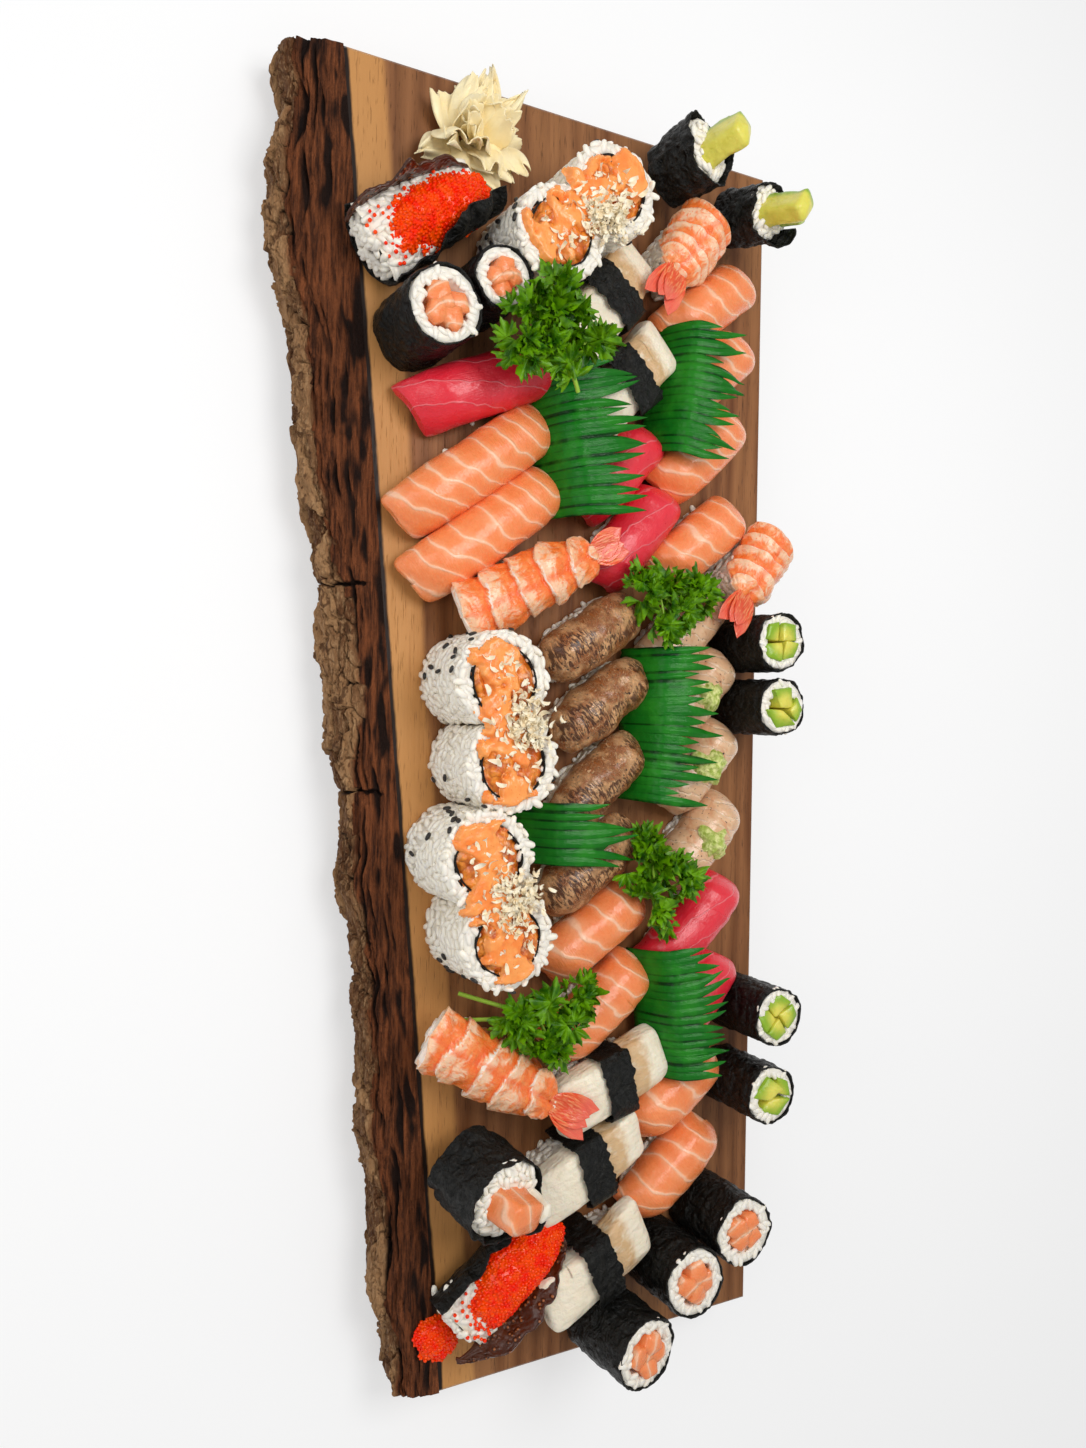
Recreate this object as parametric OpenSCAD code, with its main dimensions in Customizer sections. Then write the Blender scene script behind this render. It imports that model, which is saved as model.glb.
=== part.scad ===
// A live-edge wooden serving board laid with nigiri, rolls, hand rolls, pickled ginger,
// parsley and grass-cut dividers. Millimetres. The origin is the middle of the board's
// underside, X runs along the board, Y across it towards the sawn edge, and Z is up.

/* [Board] */
// Thickness of the slab
board_t = 25; // [16:0.5:40]
// How much narrower the slab is at its +X end
board_taper = 39; // [0:1:50]
// Bare wood past the food at each end
end_margin = 10; // [6:0.5:60]
// Bare wood between the food and the live edge
near_margin = 10; // [8:0.5:60]
// Bevel along the sawn top edges
bevel = 1.2; // [0.3:0.1:3]

/* [Live edge] */
// Mean reach of the bark past the slab
bark_w = 15; // [8:0.5:30]
// Height of the plates and furrows on the bark
bark_relief = 1.8; // [0.5:0.1:4]
// Length of one plate of bark
bark_plate_l = 7; // [6:0.5:30]
// Drop from the board's top to the bark's lip
bark_lip = 1.5; // [0.5:0.1:4]

/* [Nigiri] */
// Length of a nigiri in the back rows
slice_l = 43; // [35:0.5:60]
// Width of a slice
slice_w = 18.6; // [15:0.2:24]
// Thickness of a fish slice
slice_t = 5; // [3:0.1:8]
// Height of the rice under a slice
rice_h = 14; // [9:0.5:20]
// Height of the rice under a prawn
prawn_rice_h = 18.5; // [12:0.5:24]
// Length of a prawn's tail fan
tail_l = 13; // [8:0.5:16]
// Thickness of a prawn's tail fan
tail_t = 1.6; // [0.8:0.1:3]
// Depth of the grooves between a prawn's segments
groove_d = 0.8; // [0.3:0.1:1.5]
// Thickness of a squid block
squid_t = 6.5; // [4:0.1:9]
// Width of the nori band round a squid nigiri
band_w = 8.5; // [5:0.5:14]
// Radius of a dab of wasabi
wasabi_r = 3.6; // [2:0.1:5]

/* [Nori rolls] */
// Diameter of the thickest nori roll
roll_d = 24.6; // [18:0.2:32]
// Height of a nori roll
roll_h = 29; // [18:0.5:40]
// Thickness of a sheet of nori
nori_t = 0.6; // [0.3:0.1:1.2]
// Thickness of the rice in a nori roll
roll_rice_t = 4; // [2.5:0.1:6]

/* [Inside-out rolls] */
// Diameter of an inside-out roll
pair_roll_d = 30; // [24:0.5:40]
// Height of an inside-out roll
pair_roll_h = 31; // [20:0.5:40]
// Thickness of the rice outside the nori
outer_rice_t = 4; // [2.5:0.1:6]
// Thickness of the sauce on a pair of rolls
sauce_t = 2; // [1:0.1:4]
// Size of one flake of fried batter
flake_s = 3.4; // [2:0.1:6]

/* [Hand rolls] */
// Diameter of a hand roll's mouth
cone_d = 24; // [18:0.5:32]
// Length of a hand roll
cone_l = 32; // [26:0.5:44]
// Length of a roe boat
boat_l = 42; // [34:0.5:56]
// Thickness of a crisp skin
skin_t = 1.2; // [0.6:0.1:2]
// Radius of the roe heap on a boat
roe_r = 8; // [5:0.2:10]

/* [Garnish] */
// Width of one frilled parsley leaf
leaf_w = 13; // [8:0.5:16]
// Thickness of a parsley leaf
leaf_t = 0.8; // [0.5:0.1:1.5]
// Diameter of a parsley stem
stem_d = 1.4; // [0.8:0.1:2.5]
// Width of one blade of a grass-cut divider
blade_w = 2.5; // [2:0.1:6]
// Length of a divider's tallest blade
blade_l = 20; // [12:0.5:28]
// Thickness of a divider
divider_t = 0.5; // [0.3:0.1:1]
// Length of a slice of pickled ginger
ginger_l = 23.5; // [16:0.5:32]

/* [Clearances] */
// Gap between pieces that lie against each other
fit_gap = 0.2; // [0.1:0.05:0.4]

/* [Hidden] */
$fn = 48;
overrun = 1;

// Shares of a cell: how much of it each kind of piece takes
slice_l_share = 0.86;
slice_w_share = 0.372;
roll_share = 0.492;
pair_roll_share = 0.6;
cone_share = 0.48;
boat_share = 0.84;
// Side of the square of board that a piece takes, which every place follows
cell = max(slice_l / slice_l_share, slice_w / slice_w_share, roll_d / roll_share,
    pair_roll_d / pair_roll_share, cone_d / cone_share, boat_l / boat_share);

// The laid area in cells, and the board round it
laid_l_share = 8.2;
laid_w_share = 3.14;
board_l = laid_l_share * cell + 2 * end_margin;
slab_w = laid_w_share * cell + near_margin;
far_y = (slab_w + bark_w) / 2;
function near_y(x) = far_y - slab_w + board_taper * (x / board_l + 1 / 2);

// Places in cells: along the board from its middle, across it from the sawn edge, the
// turn of the piece, then its length as a share of a back-row nigiri
salmon_place_shares = [
    [-1.77, -2.47, 127, 1.49], [-1.37, -2.38, 127, 1.45], [1.29, -1.55, 124, 1.02],
    [1.82, -1.50, 129, 1.02], [-3.14, -0.66, 128, 1], [-2.64, -0.66, 131, 1],
    [-2.08, -0.71, 133, 1], [-1.44, -0.71, 128, 1], [2.49, -0.86, 124, 0.94],
    [3.04, -0.87, 130, 0.96]];
tuna_place_shares = [
    [-2.33, -2.35, 114, 1.40], [-1.86, -1.43, 138, 0.93], [-1.43, -1.27, 142, 0.98],
    [1.30, -0.70, 136, 0.95], [1.88, -0.71, 138, 0.95]];
prawn_place_shares = [
    [-1.04, -2.12, 117, 1.14], [2.11, -2.34, 58, 1.12], [-1.24, -0.31, -38, 0.65],
    [-3.42, -0.95, -37, 0.65]];
seared_place_shares = [
    [-0.72, -1.60, 125, 1], [-0.26, -1.52, 128, 1], [0.27, -1.52, 133, 1],
    [0.84, -1.59, 129, 1]];
white_place_shares = [
    [-0.80, -0.83, 136, 0.9], [-0.34, -0.74, 138, 0.9], [0.17, -0.70, 137, 0.9],
    [0.71, -0.67, 137, 0.9]];
squid_place_shares = [
    [2.31, -1.46, 105, 0.95], [2.86, -1.63, 109, 0.95], [3.55, -1.55, 112, 0.95],
    [-2.97, -1.58, 140, 0.95], [-2.44, -1.42, 130, 0.95]];
// Nori rolls: place, the turn of the lean, its tilt, and the diameter as a share
avocado_roll_shares = [
    [-0.72, -0.26, 0, 0, 0.86], [-0.26, -0.24, 0, 0, 0.86], [1.95, -0.23, 0, 0, 0.86],
    [2.50, -0.28, 0, 0, 0.86]];
salmon_roll_shares = [
    [3.43, -0.50, 0, 0, 0.98], [3.69, -0.92, 0, 0, 0.98], [4.00, -1.42, 60, 10, 1],
    [-2.60, -2.88, 0, 0, 1], [-2.842, -2.498, 0, 0, 0.82]];
// Pairs of inside-out rolls: place and the turn of the line through both
pair_place_shares = [[-3.36, -1.93, 132], [-0.13, -2.44, 8], [0.96, -2.49, 16]];
// Hand rolls: place of the tail, the turn of the lean, its tilt, the mouth's diameter as a
// share, and the tail's as a share of the mouth's
salmon_cone_shares = [[2.64, -2.58, 48, 34, 1.02, 0.8]];
avocado_cone_shares = [[-3.88, -1.20, 121, 36, 0.92, 0.45], [-3.86, -0.62, 62, 28, 0.84, 0.6]];
// Roe boats: place, turn, and 1 with the skin on the right or -1 with it on the left
boat_place_shares = [[-3.27, -2.87, 126, -1], [3.47, -2.21, 132, 1]];

// Bending of the slices: along their length and across it, as shares of length and width
bend_share = 1.9;
prawn_bend_share = 3.2;
tail_rise = 14;
crown_share = 0.8;
squid_crown_share = 1.1;
rice_l_share = 0.88;
rice_w_share = 0.9;
squid_w_share = 0.9;
// The corners of each cut of fish: the power of its outline, from 2, an ellipse, to a
// rectangle's, and how far it leans
salmon_cut = [3.4, -0.25];
tuna_cut = [7, -0.25];
seared_cut = [2.6, 0];
white_fish_cut = [2.8, -0.15];
squid_cut = [6, 0];
rice_cut = [3, 0];
nigiri_h = rice_h + slice_t;
prawn_h = prawn_rice_h + slice_t;
squid_h = rice_h + squid_t;

// Shared shapes

// A place in cells as a point on the board's top
function on_board(place) = [place[0] * cell, far_y + place[1] * cell, board_t];

// An outline between an ellipse and a rectangle, sheared by its lean
function rounded_outline(l, w, cut) = [
    for (a = [0 : 12 : 348])
        let (c = cos(a), s = sin(a),
            x = l / 2 * sign(c) * pow(abs(c), 2 / cut[0]),
            y = w / 2 * sign(s) * pow(abs(s), 2 / cut[0]))
        [x + cut[1] * y, y]];

// The cross-section of something arched: flat sides under a round top at the origin
module arch_profile(w, crown_r, depth) {
    translate([-crown_r, 0])
        intersection() {
            circle(crown_r);
            translate([0, -w / 2]) square([crown_r, w]);
        }
    translate([-crown_r - depth, -w / 2]) square([depth, w]);
}

// Sweeps a cross-section from s0 to s1 along X, bent down over a radius from the crown
module bent_sweep(s0, s1, bend_r) {
    a0 = asin(s0 / bend_r);
    a1 = asin(s1 / bend_r);
    translate([0, 0, -bend_r])
        rotate([90, 0, 0])
            rotate([0, 0, 90 - a1])
                rotate_extrude(angle = a1 - a0)
                    translate([bend_r, 0]) children();
}

// A sheet of one thickness bent over the rice, with its crown at the origin
module bent_sheet(s0, s1, w, t, bend_r, crown_r, lift = 0) {
    bent_sweep(s0, s1, bend_r)
        translate([lift - crown_r, 0])
            intersection() {
                difference() {
                    circle(crown_r);
                    circle(crown_r - t);
                }
                translate([0, -w / 2]) square([crown_r + overrun, w]);
            }
}

// A slice of fish cut to an outline
module slice(l, w, t, cut, crown = crown_share) {
    intersection() {
        bent_sheet(-l / 2 - overrun, l / 2 + overrun, w + overrun, t, bend_share * l, crown * w);
        translate([0, 0, -nigiri_h - overrun])
            linear_extrude(nigiri_h + 2 * overrun)
                polygon(rounded_outline(l, w, cut));
    }
}

// The pad of rice that a slice of length l lies on, with the slice's crown at the origin
module rice_pad(l, w, t, h, bend, crown) {
    pad_l = rice_l_share * l;
    pad_w = rice_w_share * w;
    under_r = crown * w - t - fit_gap;
    intersection() {
        translate([0, 0, -t - fit_gap])
            bent_sweep(-pad_l / 2 - overrun, pad_l / 2 + overrun, bend * l - t - fit_gap)
                arch_profile(pad_w + overrun, under_r, h + overrun);
        translate([0, 0, -h])
            linear_extrude(h)
                polygon(rounded_outline(pad_l, pad_w, rice_cut));
    }
}

// Puts a piece with its crown h over the board at a place
module laid(place, h) {
    translate(on_board(place) + [0, 0, h]) rotate(place[2]) children();
}

// Stands a round piece of radius r on the board at a place, leaning on its lower rim
module stood(place, r) {
    turn = place[2];
    tilt = place[3];
    translate(on_board(place) + [0, 0, r * sin(tilt)])
        rotate([0, 0, turn]) rotate([0, tilt, 0]) children();
}

// The board

module board_slab() {
    bevel_side = bevel * sqrt(2);
    color("peru")
        difference() {
            linear_extrude(board_t)
                polygon([
                    [-board_l / 2, near_y(-board_l / 2)], [board_l / 2, near_y(board_l / 2)],
                    [board_l / 2, far_y], [-board_l / 2, far_y]]);
            translate([0, far_y, board_t]) rotate([45, 0, 0])
                cube([board_l + 2 * overrun, bevel_side, bevel_side], center = true);
            for (side = [-1, 1])
                translate([side * board_l / 2, 0, board_t]) rotate([0, 45, 0])
                    cube([bevel_side, 3 * slab_w, bevel_side], center = true);
        }
}

// Bark: rows run from the lip on the board's top round the outside to the underside. Each
// has its height and its reach as shares of the slab's thickness and of the bark's width
bark_row_shares = [[1, 0], [1, 0.35], [0.97, 0.72], [0.82, 0.93], [0.62, 1.04], [0.42, 0.98],
    [0.24, 0.84], [0.1, 0.66], [0.02, 0.4], [0, 0]];
// How wide the bark is along the board: shares of the board's length from its middle, then of
// the bark's width. It is widest towards the -X end, and has split across in two places
bark_width_shares = [[-0.5, 1.08], [-0.45, 1.05], [-0.43, 1.35], [-0.38, 1.5], [-0.33, 1.4],
    [-0.3, 1.2], [-0.25, 1.15], [-0.23, 1.25], [-0.17, 1.15], [-0.121, 1.08], [-0.115, 0.84],
    [-0.109, 1], [-0.05, 1.05], [0, 1], [0.028, 1.08], [0.036, 0.76], [0.044, 0.95], [0.1, 1.06],
    [0.17, 0.88], [0.26, 0.92], [0.3, 1.05], [0.35, 0.9], [0.42, 1.08], [0.46, 0.85], [0.5, 0.8]];
// Plates stand out by one share of the relief and the furrows between them fall back by another
plate_share = 0.2;
furrow_share = -0.45;
rough_share = 0.5;
steps_per_plate = 2;
furrow_every = 2 * steps_per_plate;
last_row = len(bark_row_shares) - 1;
bark_steps = ceil(steps_per_plate * board_l / bark_plate_l);
bark_rough = rands(-1, 1, (bark_steps + 1) * len(bark_row_shares), 7);
function bark_reach(i, row) =
    bark_w * bark_row_shares[row][1] * lookup(i / bark_steps - 1 / 2, bark_width_shares)
        + (row == 0 || row == last_row ? 0
            : bark_relief * ((i % furrow_every == 0 ? furrow_share : plate_share)
                + rough_share * bark_rough[i * len(bark_row_shares) + row]));
function bark_height(i, row) = bark_row_shares[row][0] * board_t
    - (row > 0 && row < 3
        ? bark_lip * (1 + rough_share * bark_rough[i * len(bark_row_shares) + row]) : 0);

module live_edge_bark() {
    rows = len(bark_row_shares);
    points = [
        for (i = [0 : bark_steps], row = [0 : rows - 1])
            let (x = board_l * (i / bark_steps - 1 / 2))
            [x, near_y(x) - bark_reach(i, row), bark_height(i, row)]];
    function at(i, row) = i * rows + row % rows;
    faces = concat(
        [for (i = [0 : bark_steps - 1], row = [0 : rows - 1], half = [0, 1])
            half == 0 ? [at(i, row), at(i, row + 1), at(i + 1, row)]
                : [at(i, row + 1), at(i + 1, row + 1), at(i + 1, row)]],
        [[for (row = [rows - 1 : -1 : 0]) at(0, row)],
            [for (row = [0 : rows - 1]) at(bark_steps, row)]]);
    color("saddlebrown") polyhedron(points, faces, convexity = 6);
}

// Nigiri

module salmon_slice(place) {
    l = place[3] * slice_l;
    color("salmon") laid(place, nigiri_h) slice(l, slice_w, slice_t, salmon_cut);
}

module tuna_slice(place) {
    l = place[3] * slice_l;
    color("crimson") laid(place, nigiri_h) slice(l, slice_w, slice_t, tuna_cut);
}

module seared_slice(place) {
    l = place[3] * slice_l;
    color("rosybrown") laid(place, nigiri_h) slice(l, slice_w, slice_t, seared_cut);
}

module white_fish_slice(place) {
    l = place[3] * slice_l;
    color("wheat") laid(place, nigiri_h) slice(l, slice_w, slice_t, white_fish_cut);
}

// The widths of a prawn's segments from head to tail, as shares of the slice's width
segment_shares = [0.72, 0.94, 1, 0.97, 0.86, 0.66];
// Along each segment, and how wide it is there as a share of its width
segment_form_shares = [[0.06, 0.9], [0.35, 1], [0.65, 1], [0.94, 0.9]];
// The lobes of the tail: turn, then length as a share
tail_lobe_shares = [[-20, 1], [0, 0.75], [20, 1]];

// One edge of a prawn's body: each segment bulges between its waists
function body_edge(l, side) =
    let (n = len(segment_shares))
    [for (i = [0 : n - 1], form = segment_form_shares)
        [l * ((i + form[0]) / n - 1 / 2), side * segment_shares[i] * form[1] * slice_w / 2]];
function reversed(list) = [for (i = [len(list) - 1 : -1 : 0]) list[i]];

// A drop-shaped lobe that starts at the origin and ends in a soft point
lobe_swell = 0.8;
lobe_root_share = 0.25;
function lobe_half(w, s) = w / 2 * (sin(180 * pow(s, lobe_swell)) + lobe_root_share * (1 - s));
function lobe_outline(l, w) = concat(
    [for (s = [0 : 0.125 : 1]) [l * s, lobe_half(w, s)]],
    [for (s = [1 : -0.125 : 0]) [l * s, -lobe_half(w, s)]]);

module prawn(place) {
    l = place[3] * slice_l;
    bend_r = prawn_bend_share * l;
    crown_r = crown_share * slice_w;
    step = l / len(segment_shares);
    // The tail leaves the body a little under the crown's bend
    drop = bend_r - sqrt(pow(bend_r, 2) - pow(l / 2, 2));
    color("coral")
        laid(place, prawn_h) {
            difference() {
                intersection() {
                    bent_sheet(-l / 2 - overrun, l / 2 + overrun, slice_w + overrun, slice_t,
                        bend_r, crown_r);
                    translate([0, 0, -prawn_h - overrun])
                        linear_extrude(prawn_h + 2 * overrun)
                            polygon(concat(body_edge(l, -1), reversed(body_edge(l, 1))));
                }
                for (i = [1 : len(segment_shares) - 1])
                    bent_sheet(-l / 2 + i * step - groove_d / 2, -l / 2 + i * step + groove_d / 2,
                        slice_w + 2 * overrun, groove_d + overrun, bend_r,
                        crown_r + overrun, overrun);
            }
            for (lobe = tail_lobe_shares)
                translate([l / 2 - tail_t, 0, -drop - slice_t / 2])
                    rotate([0, -tail_rise, lobe[0]])
                        linear_extrude(tail_t)
                            polygon(lobe_outline(tail_l * lobe[1], slice_w / 3));
        }
}

module squid_slice(place) {
    l = place[3] * slice_l;
    color("ivory")
        laid(place, squid_h)
            slice(l, squid_w_share * slice_w, squid_t, squid_cut, squid_crown_share);
}

module squid_nori_bands() {
    w = squid_w_share * slice_w;
    crown_r = squid_crown_share * w;
    color("darkslategray")
        for (place = squid_place_shares) {
            bend_r = bend_share * place[3] * slice_l;
            laid(place, squid_h)
                intersection() {
                    bent_sweep(-band_w / 2, band_w / 2, bend_r)
                        translate([fit_gap + nori_t, 0])
                            difference() {
                                arch_profile(w + 2 * (fit_gap + nori_t),
                                    crown_r + fit_gap + nori_t, squid_h);
                                translate([-nori_t, 0])
                                    arch_profile(w + 2 * fit_gap, crown_r + fit_gap,
                                        squid_h + overrun);
                            }
                    translate([0, 0, overrun - squid_h / 2])
                        cube([2 * band_w, 2 * slice_w, squid_h + 2 * overrun], center = true);
                }
        }
}

module rice_pads(places, w, t, h, bend = bend_share, crown = crown_share) {
    color("white")
        for (place = places)
            laid(place, h) rice_pad(place[3] * slice_l, w, t, h, bend, crown);
}

module wasabi_dabs() {
    color("yellowgreen")
        for (i = [0 : len(white_place_shares) - 2])
            laid(white_place_shares[i + 1], nigiri_h + fit_gap)
                intersection() {
                    translate([0, 0, -wasabi_r / 2]) sphere(wasabi_r);
                    translate([-wasabi_r, -wasabi_r, 0]) cube(2 * wasabi_r);
                }
}

// Nori rolls

module tube(r, wall, h) {
    linear_extrude(h)
        difference() {
            circle(r);
            circle(r - wall);
        }
}

// Every nori roll stands on its cut end
all_rolls = concat(avocado_roll_shares, salmon_roll_shares);
function roll_r(place) = place[4] * roll_d / 2;
// The round core of a roll inside its rice
function core_r(place) = roll_r(place) - nori_t - roll_rice_t - 2 * fit_gap;

module roll_nori() {
    color("darkslategray")
        for (place = all_rolls)
            stood(place, roll_r(place)) tube(roll_r(place), nori_t, roll_h);
}

module roll_rice() {
    color("white")
        for (place = all_rolls)
            stood(place, roll_r(place))
                tube(roll_r(place) - nori_t - fit_gap, roll_rice_t, roll_h);
}

// The length and width of a stick of salmon as shares of the core that it fills
salmon_stick_shares = [0.88, 0.79];
module roll_salmon() {
    color("salmon")
        for (place = salmon_roll_shares)
            stood(place, roll_r(place))
                linear_extrude(roll_h)
                    polygon(rounded_outline(2 * salmon_stick_shares[0] * core_r(place),
                        2 * salmon_stick_shares[1] * core_r(place), rice_cut));
}

module roll_avocado() {
    color("yellowgreen")
        for (place = avocado_roll_shares)
            stood(place, roll_r(place))
                linear_extrude(roll_h)
                    difference() {
                        circle(core_r(place));
                        for (turn = [20, 140, 260])
                            rotate(turn)
                                translate([-fit_gap / 2, -fit_gap]) square([fit_gap, roll_d]);
                    }
}

// Inside-out rolls, pressed together in pairs

// One roll's outline moved in by inset, flat where it meets its partner
press_share = 0.87;
module pressed_outline(inset) {
    r = pair_roll_d / 2;
    press = press_share * r;
    intersection() {
        translate([press, 0]) circle(r - inset);
        translate([fit_gap / 2 + inset, -r]) square(2 * r);
    }
}

module pair_layer(outer, inner) {
    for (place = pair_place_shares, side = [0, 180])
        translate(on_board(place)) rotate(place[2] + side)
            linear_extrude(pair_roll_h)
                difference() {
                    pressed_outline(outer);
                    if (inner > 0) pressed_outline(inner);
                }
}

module pair_roll_rice() {
    color("white") pair_layer(0, outer_rice_t);
}

module pair_roll_nori() {
    color("darkslategray")
        pair_layer(outer_rice_t + fit_gap, outer_rice_t + fit_gap + nori_t);
}

module pair_roll_filling() {
    color("sandybrown") pair_layer(outer_rice_t + nori_t + 2 * fit_gap, 0);
}

// The sauce: the radius of its pools, and the width of the strip between them, as shares
pool_share = 0.3;
strip_share = 1.6;
module spicy_sauce() {
    pool_r = pool_share * pair_roll_d;
    color("lightsalmon")
        for (place = pair_place_shares)
            translate(on_board(place) + [0, 0, pair_roll_h]) rotate(place[2])
                linear_extrude(sauce_t) {
                    square([pair_roll_d, strip_share * pool_r], center = true);
                    for (side = [-1, 1]) translate([side * pair_roll_d / 2, 0]) circle(pool_r);
                }
}

// A loose heap of flakes on each pair: they turn by the golden angle and spread out
flakes = 7;
golden = 137.5;
flake_spread_share = 0.42;
flake_twist = 40;
flake_h_shares = [0.5, 0.75];
module batter_flakes() {
    color("moccasin")
        for (place = pair_place_shares)
            translate(on_board(place) + [0, 0, pair_roll_h + sauce_t])
                for (i = [0 : flakes - 1])
                    rotate(golden * i)
                        translate([flake_spread_share * flake_s * sqrt(i), 0, 0])
                            rotate(flake_twist * i)
                                translate([-flake_s / 2, -flake_s / 2, 0])
                                    cube([flake_s, flake_s, flake_s * flake_h_shares[i % 2]]);
}

// Hand rolls

// The outer radius of a hand roll at a share of its length from the tail
function cone_r(place, s) = place[4] * cone_d / 2 * (place[5] + (1 - place[5]) * s);
// The stick of filling: the room it has in the mouth, its two widths, and how far it rises
stick_room_share = 0.45;
stick_shares = [1.8, 1.44];
stick_rise_share = 0.125;
salmon_stick_cut = [4, 0];
avocado_stick_cut = [2.4, 0];
function stick_r(place) = stick_room_share * cone_r(place, 1);

// Stands a hand roll on the rim of its tail, leaning towards its turn
module leant(place) {
    translate(on_board(place) + [0, 0, cone_r(place, 0) * sin(place[3])])
        rotate([0, 0, place[2]]) rotate([0, place[3], 0]) children();
}

module cone_shell(place) {
    past = overrun / cone_l;
    difference() {
        cylinder(cone_l, cone_r(place, 0), cone_r(place, 1));
        translate([0, 0, -overrun])
            cylinder(cone_l + 2 * overrun, cone_r(place, -past) - nori_t,
                cone_r(place, 1 + past) - nori_t);
    }
}

module cone_rice(place) {
    gap = nori_t + fit_gap;
    hole_r = stick_r(place) + fit_gap;
    difference() {
        cylinder(cone_l, cone_r(place, 0) - gap, cone_r(place, 1) - gap);
        translate([0, 0, cone_l / 2]) cylinder(cone_l, hole_r, hole_r);
    }
}

// A stick of filling that stands out of the mouth
module cone_stick(place, cut) {
    translate([0, 0, cone_l / 2 + fit_gap])
        linear_extrude((1 / 2 + stick_rise_share) * cone_l)
            polygon(rounded_outline(stick_shares[0] * stick_r(place),
                stick_shares[1] * stick_r(place), cut));
}

// Roe boats: an open gutter of nori on one side and a crisp skin on the other

boat_tail_share = 0.72;
boat_r_share = 0.3;
boat_r = boat_r_share * boat_l;
// Turns round a boat's length, measured from its right side: nori, rice and skin
nori_from = -150;
nori_to = 25;
skin_from = 150;
skin_to = 205;

// Lays a piece drawn along Z on the board, so that its length follows the place's turn
module lengthwise(place) {
    translate(on_board(place) + [0, 0, boat_r + fit_gap])
        rotate(place[2]) rotate([90, 0, 90]) mirror([place[3] < 0 ? 1 : 0, 0, 0])
            translate([0, 0, -boat_l / 2]) children();
}

// Part of a tapered shell or core between two turns: each radius shrinks alike to the tail
module tapered_sector(r_in, r_out, from, to) {
    shrink = (1 - boat_tail_share) * boat_r;
    rotate(from)
        rotate_extrude(angle = to - from)
            polygon([[r_in, 0], [r_out, 0], [r_out - shrink, boat_l],
                [max(0, r_in - shrink), boat_l]]);
}

module hand_roll_nori() {
    color("darkslategray") {
        for (place = concat(salmon_cone_shares, avocado_cone_shares))
            leant(place) cone_shell(place);
        for (place = boat_place_shares)
            lengthwise(place) tapered_sector(boat_r - nori_t, boat_r, nori_from, nori_to);
    }
}

module hand_roll_rice() {
    color("white") {
        for (place = concat(salmon_cone_shares, avocado_cone_shares))
            leant(place) cone_rice(place);
        for (place = boat_place_shares)
            lengthwise(place)
                tapered_sector(0, boat_r - nori_t - fit_gap, -180, 0);
    }
}

module hand_roll_salmon() {
    color("salmon")
        for (place = salmon_cone_shares) leant(place) cone_stick(place, salmon_stick_cut);
}

module hand_roll_avocado() {
    color("yellowgreen")
        for (place = avocado_cone_shares) leant(place) cone_stick(place, avocado_stick_cut);
}

// Heaps along a boat: how far along it, and the size of each as a share of roe_r
roe_heap_shares = [[0.2, 0.8], [0.4, 1], [0.6, 1], [0.8, 0.75]];
// The spill past the boat at the +X end: place in cells, size as a share of roe_r
spill_place_shares = [3.92, -2.60];
spill_size_share = 0.5;

module roe() {
    color("orangered") {
        for (place = boat_place_shares)
            lengthwise(place)
                intersection() {
                    union()
                        for (heap = roe_heap_shares)
                            translate([0, 0, heap[0] * boat_l]) sphere(heap[1] * roe_r);
                    translate([-2 * roe_r, fit_gap, 0]) cube([4 * roe_r, 2 * roe_r, boat_l]);
                }
        translate([spill_place_shares[0] * cell, near_y(spill_place_shares[0] * cell), board_t])
            intersection() {
                for (turn = [0, 120, 240])
                    rotate(turn) translate([spill_size_share * roe_r / 2, 0, 0])
                        sphere(spill_size_share * roe_r);
                translate([-roe_r, -roe_r, 0]) cube(2 * roe_r);
            }
    }
}

module crisp_skins() {
    color("maroon")
        for (place = boat_place_shares)
            lengthwise(place)
                tapered_sector(boat_r + fit_gap, boat_r + fit_gap + skin_t, skin_from, skin_to);
}

// Garnish

// Pickled ginger: a rosette of thin folded slices. Its skin runs from the middle of the top
// out over the ruffled rim and back under, and the folds deepen towards the rim
ginger_place_shares = [-3.91, -2.42];
ginger_rings = 12;
ginger_spokes = 60;
// Each ring's reach and height follow these shares of the slice's length
ginger_out_share = 0.62;
ginger_up_share = 0.42;
ginger_dip_share = 0.16;
// Two sets of folds run round it: how many, how deep, and how far each ring turns the next
petals = 7;
petal_depth = 0.12;
petal_turn = 60;
waves = 3;
wave_depth = 0.08;
wave_turn = 20;
ruffle_depth = 0.9;
function ginger_ring(k) =
    let (s = k / (ginger_rings - 1))
    [ginger_out_share * sin(165 * s),
        ginger_up_share * (1 - pow(s, 2)) + ginger_dip_share * cos(150 * s)];
function ginger_point(k, j) =
    let (ring = ginger_ring(k),
        a = 360 * j / ginger_spokes,
        petal = petals * a + petal_turn * k,
        fold = sin(petal) * petal_depth + sin(waves * a + wave_turn * k) * wave_depth,
        out = ring[0] * (1 + fold),
        up = ring[1] * (1 + ruffle_depth * cos(petal) * ring[0] * (1 - k / ginger_rings)))
    ginger_l * [out * cos(a), out * sin(a), up];

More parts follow.
